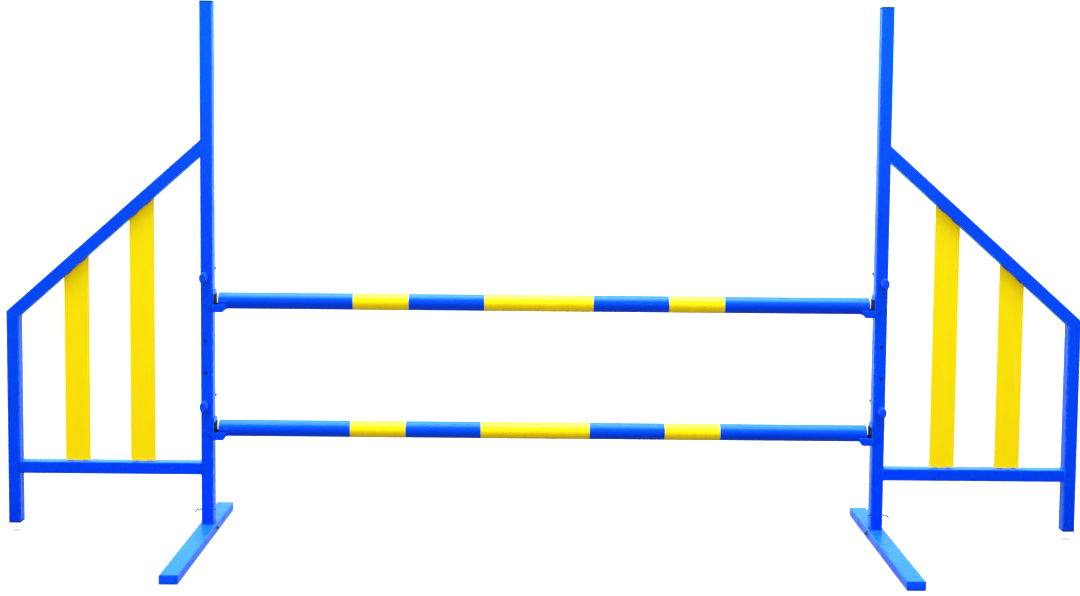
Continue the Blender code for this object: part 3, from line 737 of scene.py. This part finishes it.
def build_tubes(wing):
    bm = new_mesh()
    wing.upright_run.build(bm, WALL)
    upright = wing.show("upright_tube", bm, COAT, "upright")
    tool = new_mesh()
    bolts = [middle(f"{wing.name}_{level}_knob").z for level in LEVELS]
    bolt_x = middle(f"{wing.name}_lower_knob").x
    for step in HOLE_STEPS:
        at = Vector((bolt_x, wing.post.y, bolts[0] + (bolts[1] - bolts[0]) * step))
        rod(tool, at, Y, X, HOLE_R, 2 * wing.tube)
    pin_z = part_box(wing.node("lock_pin"))[1].z - PIN_R
    rod(tool, Vector((wing.post.x, wing.post.y, pin_z)), X, Y, PIN_HOLE_R, 2 * wing.tube)
    cut(upright, tool)
    dress(upright, COAT)

    tubes = (("leg", "leg_tube", wing.leg_run), ("sloped_rail", "sloped_tube", wing.rail_run),
             ("bottom_rail", "bottom_tube", wing.bottom_run))
    for part, name, run in tubes:
        bm = new_mesh()
        run.build(bm, WALL)
        wing.show(name, bm, COAT, part)

    square = (wing.tube, wing.tube)
    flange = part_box(wing.node("upright_cap"))[1].z - wing.high.z
    caps = (("upright_cap", "upright_plug", wing.post + Z * wing.high.z, Z),
            ("leg_cap", "leg_plug", wing.leg_run.centre + Z * wing.leg_bottom, -Z))
    for part, name, place, axis in caps:
        bm = new_mesh()
        end_plug(bm, place, axis, X, Y, square, flange, CORNER)
        wing.show(name, bm, "black_plastic", part)


def build_welds(wing):
    """Beads round every joint of the frame, and short tacks at the slats' ends."""
    bm = new_mesh()
    half_gap = wing.side * GAP / 2
    joints = [
        (wing.rail_run, (Vector((wing.outer_face + half_gap, 0, 0)), X), X),
        (wing.bottom_run, (Vector((wing.outer_face + half_gap, 0, 0)), X), X),
        (wing.bottom_run, (wing.bottom_run.end[0] + X * half_gap, X), X),
        (wing.leg_run, (wing.shoulder, wing.mitre), wing.mitre),
    ]
    for seed, (run, plane, normal) in enumerate(joints):
        path = [place for place, _ in run.points(plane, 0, WELD_SUNK)]
        radius = WELD_R if normal is X else WELD_R * 0.6
        weld(bm, path, normal, radius, True, seed)
    for place in ("inner", "outer"):
        low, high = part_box(wing.node(f"{place}_slat"))
        for face in (-1, 1):
            y = wing.post.y + face * SLAT_T / 2
            for near, far in ((low.x + TACK_INSET, low.x + TACK_INSET + TACK_LENGTH),
                              (high.x - TACK_INSET - TACK_LENGTH, high.x - TACK_INSET)):
                ends = [Vector((x, y, low.z)) for x in (near, far)]
                weld(bm, ends, Z, TACK_R, False, 7)
                tops = [Vector((x, y, slat_top(wing, x))) for x in (near, far)]
                weld(bm, tops, wing.slope_out, TACK_R, False, 8)
    show(wing.node("welds"), bm, COAT, wing.body, sharp=60)


def slat_top(wing, x):
    """Height of the slats' sloping top edges at a place along X."""
    drop = (wing.tube + GAP) / cos(wing.slope)
    return wing.shoulder.z + abs(wing.edge - x) * tan(wing.slope) - drop


def build_slats(wing):
    for place in ("inner", "outer"):
        node = wing.node(f"{place}_slat")
        low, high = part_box(node)
        centre = middle(node)
        top = Vector((centre.x, 0, slat_top(wing, centre.x)))
        run = Run(centre, Z, X, Y, (high.x - low.x, SLAT_T), (low, Z), (top, wing.slope_out), SLAT_ROUND)
        bm = new_mesh()
        run.build(bm, None, SLAT_ROUND / 2)
        show(wing.node(f"{place}_strip"), bm, "yellow_paint", wing.body, [node])


def build_foot(wing):
    low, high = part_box(wing.node("foot"))
    size = (high.x - low.x, high.z - low.z)
    centre = middle(wing.node("foot"))
    run = Run(centre, Y, X, Z, size, (low, Y), (high, Y))
    bm = new_mesh()
    run.build(bm, WALL)
    foot = wing.show("foot_tube", bm, COAT, "foot")
    tool = new_mesh()
    opening = rounded_rectangle(SPIGOT + 2 * GAP, SPIGOT + 2 * GAP, SPIGOT_CORNER)
    loft(tool, [(centre.z, opening), (2 * high.z, opening)], wing.post, Z, X, Y)
    cut(foot, tool)
    bolt = middle(wing.node("foot_bolt"))
    tool = new_mesh()
    rod(tool, Vector((wing.post.x, bolt.y, bolt.z)), X, Y, FOOT_BOLT_R + GAP, 2 * size[0])
    cut(foot, tool)
    dress(foot, COAT)

    for end_name, end in (("front", -1), ("rear", 1)):
        node = wing.node(f"foot_{end_name}_plug")
        plug_low, plug_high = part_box(node)
        at = low.y if end < 0 else high.y
        flange = at - plug_low.y if end < 0 else plug_high.y - at
        bm = new_mesh()
        end_plug(bm, Vector((centre.x, at, centre.z)), Y * end, X, Z, size, flange, CORNER)
        show(wing.node(f"foot_{end_name}_end"), bm, "blue_plastic", wing.body, [node])

    bm = new_mesh()
    half = wing.tube / 2 + FOOT_WELD_OFF[0]
    base = wing.post + Z * (high.z + FOOT_WELD_OFF[1])
    inner = -wing.side
    first, last = FOOT_WELD_ENDS
    spots = ((inner * first, -half, 0), (inner * half, -half, 0), (inner * half, last, 0))
    weld(bm, [base + Vector(spot) for spot in spots], Z, FOOT_WELD_R, False, 11)
    show(wing.node("foot_weld"), bm, COAT, wing.body, sharp=60)


def build_foot_bolt(wing):
    low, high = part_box(wing.node("foot_bolt"))
    centre = middle(wing.node("foot_bolt"))
    outward = X * wing.side
    head_end = low.x if wing.side > 0 else high.x
    seat = Vector((head_end + wing.side * HEX_HEAD, centre.y, centre.z))
    length = high.x - low.x - HEX_HEAD
    bm = new_mesh()
    threads(bm, seat, outward, Y, Z, length, length - FOOT_THREAD, FOOT_BOLT_R)
    hexagonal = hexagon(HEX)
    loft(bm, [(0, circle(HEX / 2 * 0.97)), (0.0003, hexagonal), (HEX_HEAD * 0.7, hexagonal),
              (HEX_HEAD * 0.92, circle(HEX / 2 * 0.98)), (HEX_HEAD, circle(HEX / 2 * 0.8))],
         seat, -outward, Y, Z)
    wing.show("foot_screw", bm, "dark_steel", "foot_bolt")

    nut_low, nut_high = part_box(wing.node("foot_nut"))
    at = Vector((nut_low.x if wing.side > 0 else nut_high.x, centre.y, centre.z))
    bm = new_mesh()
    outer = [(0, circle(HEX / 2)), (0.0004, hexagonal), (HEX_NUT - 0.0006, hexagonal),
             (HEX_NUT, circle(HEX / 2 * 0.95))]
    rings = [ring(bm, outline, at + outward * d, Y, Z) for d, outline in outer]
    bore = [ring(bm, circle(r), at + outward * d, Y, Z)
            for d, r in ((0, FOOT_BOLT_R + 0.0006), (0.0005, FOOT_BOLT_R + 0.0001),
                         (HEX_NUT - 0.0005, FOOT_BOLT_R + 0.0001), (HEX_NUT, FOOT_BOLT_R + 0.0006))]
    bridge_all(bm, rings)
    bridge_all(bm, bore)
    bridge(bm, rings[0], bore[0])
    bridge(bm, rings[-1], bore[-1])
    wing.show("foot_lock_nut", bm, "dark_steel", "foot_nut")


def build_lock_pin(wing):
    """Wire through the post and the spigot, straight with a rounded end, then a tail bent down."""
    pin_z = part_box(wing.node("lock_pin"))[1].z - PIN_R
    origin = Vector((wing.post.x, wing.post.y, pin_z))
    outward = X * wing.side
    straight = wing.tube / 2 + PIN_OUTER
    route = [(-wing.tube / 2 - PIN_INNER + PIN_R, 0, 0), (0, 0, 0)]
    for i in range(PIN_STEPS + 1):
        angle = PIN_BEND * i / PIN_STEPS
        route.append((straight + PIN_BEND_R * sin(angle), PIN_BEND_R * (cos(angle) - 1), angle))
    bm = new_mesh()
    rings = []

    def add_ring(along, down, turn, size, push):
        tangent = outward * cos(turn) - Z * sin(turn)
        spot = origin + outward * along + Z * down + tangent * push
        rings.append(ring(bm, circle(size, PIN_SIDES), spot, Y, tangent.cross(Y)))

    for i in range(1, PIN_END_STEPS + 1):
        angle = radians(90 * (1 - i / (PIN_END_STEPS + 0.5)))
        add_ring(*route[0], PIN_R * cos(angle), -PIN_R * sin(angle))
    for along, down, turn in route:
        add_ring(along, down, turn, PIN_R, 0.0)
    for i in range(1, PIN_END_STEPS + 1):
        angle = radians(90 * i / (PIN_END_STEPS + 0.5))
        add_ring(*route[-1], PIN_R * cos(angle), PIN_R * sin(angle) * PIN_FLAT)
    skin(bm, rings)
    show(wing.node("lock_wire"), bm, "zinc", wing.node("lock_pin"), [wing.node("lock_pin")])


# ---- the cups ----
def soft_corners(points, radius, steps=4):
    """Rounds an outline's corners, each by at most the given cut along its two sides."""
    made = []
    count = len(points)
    for i, point in enumerate(points):
        here = Vector(point)
        before, after = Vector(points[i - 1]), Vector(points[(i + 1) % count])
        back, ahead = before - here, after - here
        size = min(radius, 0.45 * back.length, 0.45 * ahead.length)
        start, end = here + back.normalized() * size, here + ahead.normalized() * size
        for k in range(steps + 1):
            t = k / steps
            made.append(start * (1 - t) ** 2 + here * 2 * t * (1 - t) + end * t * t)
    return made


def soft_plate(target, outline, base, across, up, thickness_vector, radius=PLATE_ROUND,
               soft=PLATE_SOFT):
    """Adds a flat plate with rounded corners and softened edges to a mesh."""
    bm = new_mesh()
    places = [base + across * p[0] + up * p[1] for p in soft_corners(outline, radius)]
    face = bm.faces.new([bm.verts.new(place) for place in places])
    moved = bmesh.ops.extrude_face_region(bm, geom=[face])["geom"]
    verts = [item for item in moved if isinstance(item, bmesh.types.BMVert)]
    bmesh.ops.translate(bm, vec=thickness_vector, verts=verts)
    bmesh.ops.recalc_face_normals(bm, faces=bm.faces)
    bm.faces.ensure_lookup_table()
    large = sorted(bm.faces, key=lambda f: -f.calc_area())[:2]
    rims = list({edge for f in large for edge in f.edges})
    bmesh.ops.bevel(bm, geom=rims, offset=soft, segments=3, profile=0.5, affect="EDGES")
    large = sorted(bm.faces, key=lambda f: -f.calc_area())[:2]
    layer = bm.verts.layers.float["edge"]
    for vert in bm.verts:
        vert[layer] = 1.0
    bmesh.ops.inset_individual(bm, faces=large, thickness=PLATE_STRIP)
    for f in large:
        for vert in f.verts:
            vert[layer] = 0.0
    mesh = to_mesh("plate", bm)
    target.from_mesh(mesh)
    bpy.data.meshes.remove(mesh)


def build_cup(wing, level):
    """Sheet cup: tray, lips, web, cheeks and a slotted strap, welded where the plates meet."""
    node = f"{wing.name}_{level}_cup"
    axis_z = middle(f"{level}_bar").z
    bolt_z = middle(f"{wing.name}_{level}_knob").z
    inner_face = wing.post.x - wing.side * wing.tube / 2
    origin = Vector((inner_face, wing.post.y, axis_z))
    outward = X * wing.side
    hang = bolt_z - axis_z
    face = wing.tube / 2 + GAP
    wide, narrow = TRAY_HALF + PLATE, face + PLATE

    near, far = (wing.tube - STRAP_W) / 2, (wing.tube + STRAP_W) / 2
    root = -GAP - PLATE / 2
    arc = [(wing.tube / 2 - STRAP_W / 2 * cos(pi * i / 8),
            hang + STRAP_W / 2 * sin(pi * i / 8)) for i in range(9)]
    strap = [(root, LIP_BOTTOM + PLATE), (root, CHEEK_TOP), (near, CHEEK_TOP), *arc,
             (far, 0), (CHEEK_REACH, CHEEK_TIP_Z)]
    bm = new_mesh()
    soft_plate(bm, strap, origin + Y * face, outward, Z, Y * (PLATE - INSET))
    cup = show(f"{wing.name}_{level}_cradle", bm, COAT, node, [node])
    slot_r = BOLT_R + INSET
    slot = []
    bolt_out = abs(middle(f"{wing.name}_{level}_knob").x - inner_face)
    for centre_z, start in ((hang, 0), (hang - CUP_LIFT, pi)):
        slot += [(bolt_out + slot_r * cos(start + pi * i / 12),
                  centre_z + slot_r * sin(start + pi * i / 12), 1.0) for i in range(13)]
    tool = new_mesh()
    # Known fault: this cut keeps part of its tool on the strap.
    loft(tool, [(face - PLATE, slot), (face + 2 * PLATE, slot)], origin, Y, outward, Z)
    cut(cup, tool)

    bm = new_mesh()
    bm.from_mesh(cup.data)
    web = [(-wide, LIP_BOTTOM), (wide, LIP_BOTTOM), (wide, EAR_TOP - wide + narrow), (narrow, EAR_TOP),
           (narrow, CHEEK_TOP), (-narrow, CHEEK_TOP), (-narrow, EAR_TOP), (-wide, EAR_TOP - wide + narrow)]
    soft_plate(bm, web, origin - outward * GAP, Y, Z, -outward * PLATE)
    lip = [(root, LIP_BOTTOM + PLATE_EDGE), (root, LIP_TOP), (-CUP_REACH, LIP_TOP),
           (-CUP_REACH, LIP_TOP - LIP_NOSE), (LIP_CUT - CUP_REACH, LIP_BOTTOM), (root - PLATE, LIP_BOTTOM)]
    soft_plate(bm, lip, origin - Y * (TRAY_HALF + PLATE - INSET), outward, Z, Y * (PLATE - INSET))
    soft_plate(bm, lip, origin + Y * TRAY_HALF, outward, Z, Y * (PLATE - INSET))
    cheek = [(root, LIP_BOTTOM + PLATE), (root, CHEEK_TOP - PLATE_EDGE), (CHEEK_REACH, CHEEK_TIP_Z)]
    soft_plate(bm, cheek, origin - Y * (face + PLATE - INSET), outward, Z, Y * (PLATE - INSET),
               CHEEK_ROUND)
    bar_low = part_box(f"{level}_bar")[0]
    floor_top = bar_low.z - GAP - axis_z
    half = TRAY_HALF + PLATE / 2
    floor = [(-half, floor_top - PLATE), (half, floor_top - PLATE), (half, floor_top), (-half, floor_top)]
    floor_reach = CUP_REACH + root - FLOOR_SHORT
    soft_plate(bm, floor, origin + outward * root, Y, Z, -outward * floor_reach, THIN_ROUND)
    build_cup_welds(bm, origin, outward, face, floor_top)
    bmesh.ops.recalc_face_normals(bm, faces=bm.faces)
    bm.to_mesh(cup.data)
    bm.free()
    dress(cup, COAT)

    # A thin black sheet on the web beside the bar's end: painted shade, where the bar's end shades the web.
    half, low_z = TRAY_HALF - GAP, floor_top + GAP
    shade_sheet = [(-half, low_z), (half, low_z), (half, SHADE_SHEET_TOP), (-half, SHADE_SHEET_TOP)]
    bm = new_mesh()
    soft_plate(bm, shade_sheet, origin - outward * (GAP + PLATE), Y, Z, -outward * SHADE_SHEET_T,
               SHADE_SHEET_ROUND, THIN_ROUND)
    show(f"{wing.name}_{level}_pad", bm, "black_plastic", node)


def build_cup_welds(bm, origin, outward, face, floor_top):
    """Beads where the cheeks and lips meet the web, and under the floor."""
    web_back, web_front = -GAP, -GAP - PLATE
    for turn in (-1, 1):
        cheek_y = turn * (face + PLATE - INSET)
        path = [origin + outward * web_back + Y * cheek_y + Z * z for z in (-0.019, 0.006)]
        weld(bm, path, Y, 0.0011, False, 21 + turn)
        lip_y = turn * (TRAY_HALF + PLATE - INSET)
        path = [origin + outward * web_front + Y * lip_y + Z * z for z in (-0.0225, -0.0095)]
        weld(bm, path, Y, 0.0008, False, 23 + turn)
        under = origin + Y * turn * TRAY_HALF + Z * (floor_top - PLATE)
        path = [under + outward * (web_front - d) for d in (0.002, 0.015)]
        weld(bm, path, Z, 0.001, False, 26 + turn)


# ---- the knobs, bolts and wing nuts ----
def build_knob(wing, level):
    node = f"{wing.name}_{level}_knob"
    low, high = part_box(node)
    centre = middle(node)
    seat = Vector((centre.x, high.y, centre.z))
    height, half_w, half_h = high.y - low.y, (high.x - low.x) / 2, (high.z - low.z) / 2
    collar = [(0, KNOB_COLLAR_R - 0.0005), (0.0005, KNOB_COLLAR_R), (KNOB_COLLAR - 0.0006, KNOB_COLLAR_R),
              (KNOB_COLLAR - 0.0001, KNOB_COLLAR_R + 0.0004)]
    skirt = arc_profile(KNOB_COLLAR + 0.0016, -0.0016, 0.0016, 5, -90, 0)
    crown = arc_profile(height - 0.0034, -0.0030, 0.0030, 9, 0, 84)
    top = [(height - 0.0003, -0.0038), (height - 0.0001, -0.0044), (height - 0.0006, -0.0048),
           (height - 0.0006, -0.0056), (height, -0.0060), (height, -0.0072)]
    bm = new_mesh()
    rings = [ring(bm, circle(size, KNOB_SIDES), seat - Y * at, X, Z) for at, size in collar]
    for at, grow in skirt + crown + top:
        grip = min(1.0, max(0.0, (at - KNOB_COLLAR - 0.0004) / 0.0025))
        grip *= min(1.0, max(0.0, (height - 0.0012 - at) / 0.003))
        outline = []
        for k in range(KNOB_SIDES):
            angle = tau * k / KNOB_SIDES
            flute = KNOB_FLUTE * grip * (0.5 + 0.5 * cos(KNOB_LOBES * angle)) ** 2
            wide, tall = half_w + grow - flute, half_h + grow - flute
            outline.append((wide * cos(angle), tall * sin(angle), 0.0))
        rings.append(ring(bm, outline, seat - Y * at, X, Z))
    skin(bm, rings)
    show(f"{wing.name}_{level}_grip", bm, "blue_plastic", node, [node])

    bolt = f"{wing.name}_{level}_bolt"
    bolt_low, bolt_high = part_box(bolt)
    start = Vector((centre.x, bolt_low.y, centre.z))
    length = bolt_high.y - bolt_low.y
    bm = new_mesh()
    threads(bm, start, Y, X, Z, length, length - BOLT_THREAD, BOLT_R)
    show(f"{wing.name}_{level}_stud", bm, "zinc", node, [bolt])


def build_wing_nut(wing, level):
    """Cast wing nut: hub, flange and two ears melted together, then bored."""
    node = f"{wing.name}_{level}_wing_nut"
    low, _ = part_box(node)
    axis = middle(f"{wing.name}_{level}_knob")
    seat = Vector((axis.x, low.y, axis.z))
    bm = new_mesh()
    profile = [(0, NUT_FLANGE_R - 0.0003), (0.0003, NUT_FLANGE_R), (NUT_FLANGE, NUT_FLANGE_R - 0.0002),
               (NUT_FLANGE + 0.0004, NUT_HUB_R + 0.0005), (NUT_FLANGE + 0.0012, NUT_HUB_R),
               (NUT_HUB - 0.001, NUT_HUB_R - 0.0011), (NUT_HUB, NUT_HUB_R - 0.002)]
    loft(bm, lathe_sections(profile, ROUND_SIDES), seat, Y, X, Z)
    for ear in (1, -1):
        turn = Matrix.Rotation(wing.side * WING_TURN, 3, "Y")
        along = turn @ (X * -wing.side * ear)
        across = along.cross(Y)
        outline = [(0, 0.0024), (WING_REACH - 0.0138, 0.0024), (WING_REACH - 0.0012, 0.0066),
                   (WING_REACH, 0.0106), (WING_REACH - 0.002, 0.014), (WING_REACH - 0.006, 0.014),
                   (WING_REACH - 0.015, 0.0088), (0, 0.0088)]
        soft_plate(bm, outline, seat - across * WING_T / 2, along, Y, across * WING_T, WING_ROUND)
    nut = show(f"{wing.name}_{level}_butterfly_nut", bm, "dark_steel", node, [node])
    melt = nut.modifiers.new("melt", "REMESH")
    melt.mode = "VOXEL"
    melt.voxel_size = NUT_VOXEL
    soften = nut.modifiers.new("soften", "SMOOTH")
    soften.factor = 0.5
    soften.iterations = 5
    apply_steps(nut)
    tool = new_mesh()
    rod(tool, seat + Y * NUT_HUB / 2, Y, X, BOLT_R + GAP, 3 * NUT_HUB, 32)
    cut(nut, tool)
    dress(nut, "dark_steel", 50)


# ---- the bars ----
def build_bar(level):
    node = f"{level}_bar"
    low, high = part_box(node)
    centre = middle(node)
    radius = (high.z - low.z) / 2
    bm = new_mesh()
    half = (high.x - low.x) / 2
    profile = [(-half, radius - ARRIS), (-half + ARRIS, radius), (-half + BAR_END_RING, radius)]
    span = 2 * half - 2 * BAR_END_RING
    profile += [(-half + BAR_END_RING + span * i / BAR_STATIONS, radius) for i in range(1, BAR_STATIONS)]
    profile += [(half - BAR_END_RING, radius), (half - ARRIS, radius), (half, radius - ARRIS)]
    rings = [ring(bm, circle(size, BAR_SIDES), centre + X * at, Y, Z) for at, size in profile]
    bore = [ring(bm, circle(radius - BAR_WALL, BAR_SIDES), centre + X * at, Y, Z) for at in (-half, half)]
    bridge_all(bm, rings)
    bridge(bm, *bore)
    bridge(bm, rings[0], bore[0])
    bridge(bm, rings[-1], bore[-1])
    show(f"{level}_pipe", bm, "blue_pipe", node, [node])

    for place in ("left", "middle", "right"):
        band = f"{level}_bar_{place}_band"
        band_low, band_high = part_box(band)
        build_tape(f"{level}_{place}_tape", band, centre, radius, band_low.x, band_high.x, node)

    for side_name, side in SIDES.items():
        plug = f"{level}_bar_{side_name}_plug"
        plug_low, plug_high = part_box(plug)
        face = plug_high.x if side > 0 else plug_low.x
        flange = abs(face - (centre.x + side * half))
        base = centre + X * side * half
        insert = radius - BAR_WALL - GAP
        profile = [(-STOPPER_DEPTH, insert - STOPPER_CHAMFER), (STOPPER_CHAMFER - STOPPER_DEPTH, insert),
                   (GAP, insert), (GAP, radius - 0.0002)]
        profile += arc_profile(flange - 0.0009, radius - 0.0010, 0.0009, 5, 0, 90)
        profile += [(flange, radius * 0.72), (flange - 0.0004, radius * 0.68),
                    (flange - 0.0004, radius * 0.1)]
        bm = new_mesh()
        loft(bm, lathe_sections(profile, 64), base, X * side, Y, Z)
        show(f"{level}_{side_name}_stopper", bm, "blue_plastic", node, [plug])


def build_tape(name, band, centre, radius, start, end, body):
    """A turn of tape with its overlap, seen as a small step along the back of the bar."""
    def outline(lift, wear):
        points = []
        for k in range(BAR_SIDES):
            angle = tau * k / BAR_SIDES
            lap = 0 <= (angle - TAPE_SEAM) % tau < TAPE_LAP
            size = radius + lift * (2 if lap else 1)
            points.append((size * cos(angle), size * sin(angle), wear))
        return points

    shrink = 1 - TAPE_UNDER / radius
    inside = [(a * shrink, b * shrink, 0.0) for a, b, _ in outline(0, 0)]
    bm = new_mesh()
    sections = [(start, inside), (start, outline(TAPE * 0.6, 1.0)), (start + TAPE, outline(TAPE, 1.0)),
                (start + TAPE_WORN, outline(TAPE, 0.0)), ((start + end) / 2, outline(TAPE, 0.0)),
                (end - TAPE_WORN, outline(TAPE, 0.0)), (end - TAPE, outline(TAPE, 1.0)),
                (end, outline(TAPE * 0.6, 1.0)), (end, inside)]
    axis_point = Vector((0, centre.y, centre.z))
    rings = [ring(bm, points, axis_point + X * at, Y, Z) for at, points in sections]
    bridge_all(bm, rings)
    bridge(bm, rings[0], rings[-1])
    show(name, bm, "yellow_tape", body, [band])


# ---- light, floor and camera ----
def add_area(name, place, target, size, power, colour, seen_in_gloss):
    light = bpy.data.lights.new(name, "AREA")
    light.color = colour
    light.shape = "RECTANGLE"
    light.size, light.size_y = size
    light.energy = power
    obj = place_in_scene(name, light)
    obj.location = place
    obj.rotation_mode = "QUATERNION"
    obj.rotation_quaternion = (Vector(target) - Vector(place)).to_track_quat("-Z", "Y")
    obj.visible_glossy = seen_in_gloss
    obj.visible_camera = False


def build_world():
    """A pale studio all round: white behind, dimmer in front, darkest below, and a soft light overhead."""
    world = bpy.data.worlds.new("studio")
    world.use_nodes = True
    graph = Graph(world.node_tree)
    shade = graph.tree.nodes["Background"]
    coords = graph.add("ShaderNodeTexCoord").outputs["Generated"]
    axes = graph.add("ShaderNodeSeparateXYZ", {0: coords}).outputs
    ramps = []
    for axis, *ends in WORLD_RAMPS:
        ramp = graph.spread(axes[axis], *ends)
        ramp.node.interpolation_type = "SMOOTHSTEP"
        ramps.append(ramp)
    total = graph.math("ADD", graph.math("MULTIPLY", ramps[0], ramps[1]), ramps[2])
    graph.put(shade.inputs["Strength"], total)
    colour = graph.blend(graph.spread(axes["Y"], *BACK_RANGE), (1, 1, 1), BACK_TINT)
    graph.put(shade.inputs["Color"], graph.blend(ramps[2], colour, OVERHEAD_TINT))
    bpy.context.scene.world = world


def build_floor():
    """A wide pale floor that the camera sees; the object's own light comes from the studio."""
    bm = bmesh.new()
    bmesh.ops.create_grid(bm, x_segments=1, y_segments=1, size=FLOOR_HALF)
    floor = place_in_scene("floor", to_mesh("floor", bm))
    floor.location.z = -FLOOR_DROP
    look = Finish("pale_floor", Specular_IOR_Level=0.0, Emission_Color=(1, 1, 1, 1),
                  Emission_Strength=FLOOR_GLOW)
    look.colour = look.blend(look.patches(0.8, 3.0, 0.3, 0.7), *FLOOR_COLOURS)
    look.roughness = FLOOR_ROUGHNESS
    floor.data.materials.append(look.done())
    floor.visible_diffuse = False
    floor.visible_glossy = False
    floor.visible_shadow = False


def build_camera():
    data = bpy.data.cameras.new("camera")
    data.lens = LENS
    data.sensor_width = 36.0
    data.shift_y = SHIFT_Y
    data.clip_end = 200.0
    camera = place_in_scene("camera", data)
    forward = Vector((sin(YAW) * cos(PITCH), cos(YAW) * cos(PITCH), -sin(PITCH)))
    right = Vector((cos(YAW), -sin(YAW), 0))
    up = right.cross(forward)
    across = right * cos(ROLL) + up * sin(ROLL)
    above = up * cos(ROLL) - right * sin(ROLL)
    turn = Matrix((across, above, -forward)).transposed()
    camera.matrix_world = Matrix.Translation(CAMERA_PLACE) @ turn.to_4x4()
    bpy.context.scene.camera = camera


def main():
    for name, side in SIDES.items():
        wing = Wing(name, side)
        build_tubes(wing)
        build_slats(wing)
        build_welds(wing)
        build_foot(wing)
        build_foot_bolt(wing)
        build_lock_pin(wing)
        for level in LEVELS:
            build_cup(wing, level)
            build_knob(wing, level)
            build_wing_nut(wing, level)
        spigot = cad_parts[f"{name}_spigot"]
        spigot.data.materials.clear()
        spigot.data.materials.append(FINISHES["zinc"])
    for level in LEVELS:
        build_bar(level)
    build_world()
    build_floor()
    add_area("fill", FILL_PLACE, FILL_TARGET, FILL_SIZE, FILL_POWER, FILL_TINT, False)
    bpy.context.scene.view_settings.view_transform = "Standard"
    build_camera()


main()
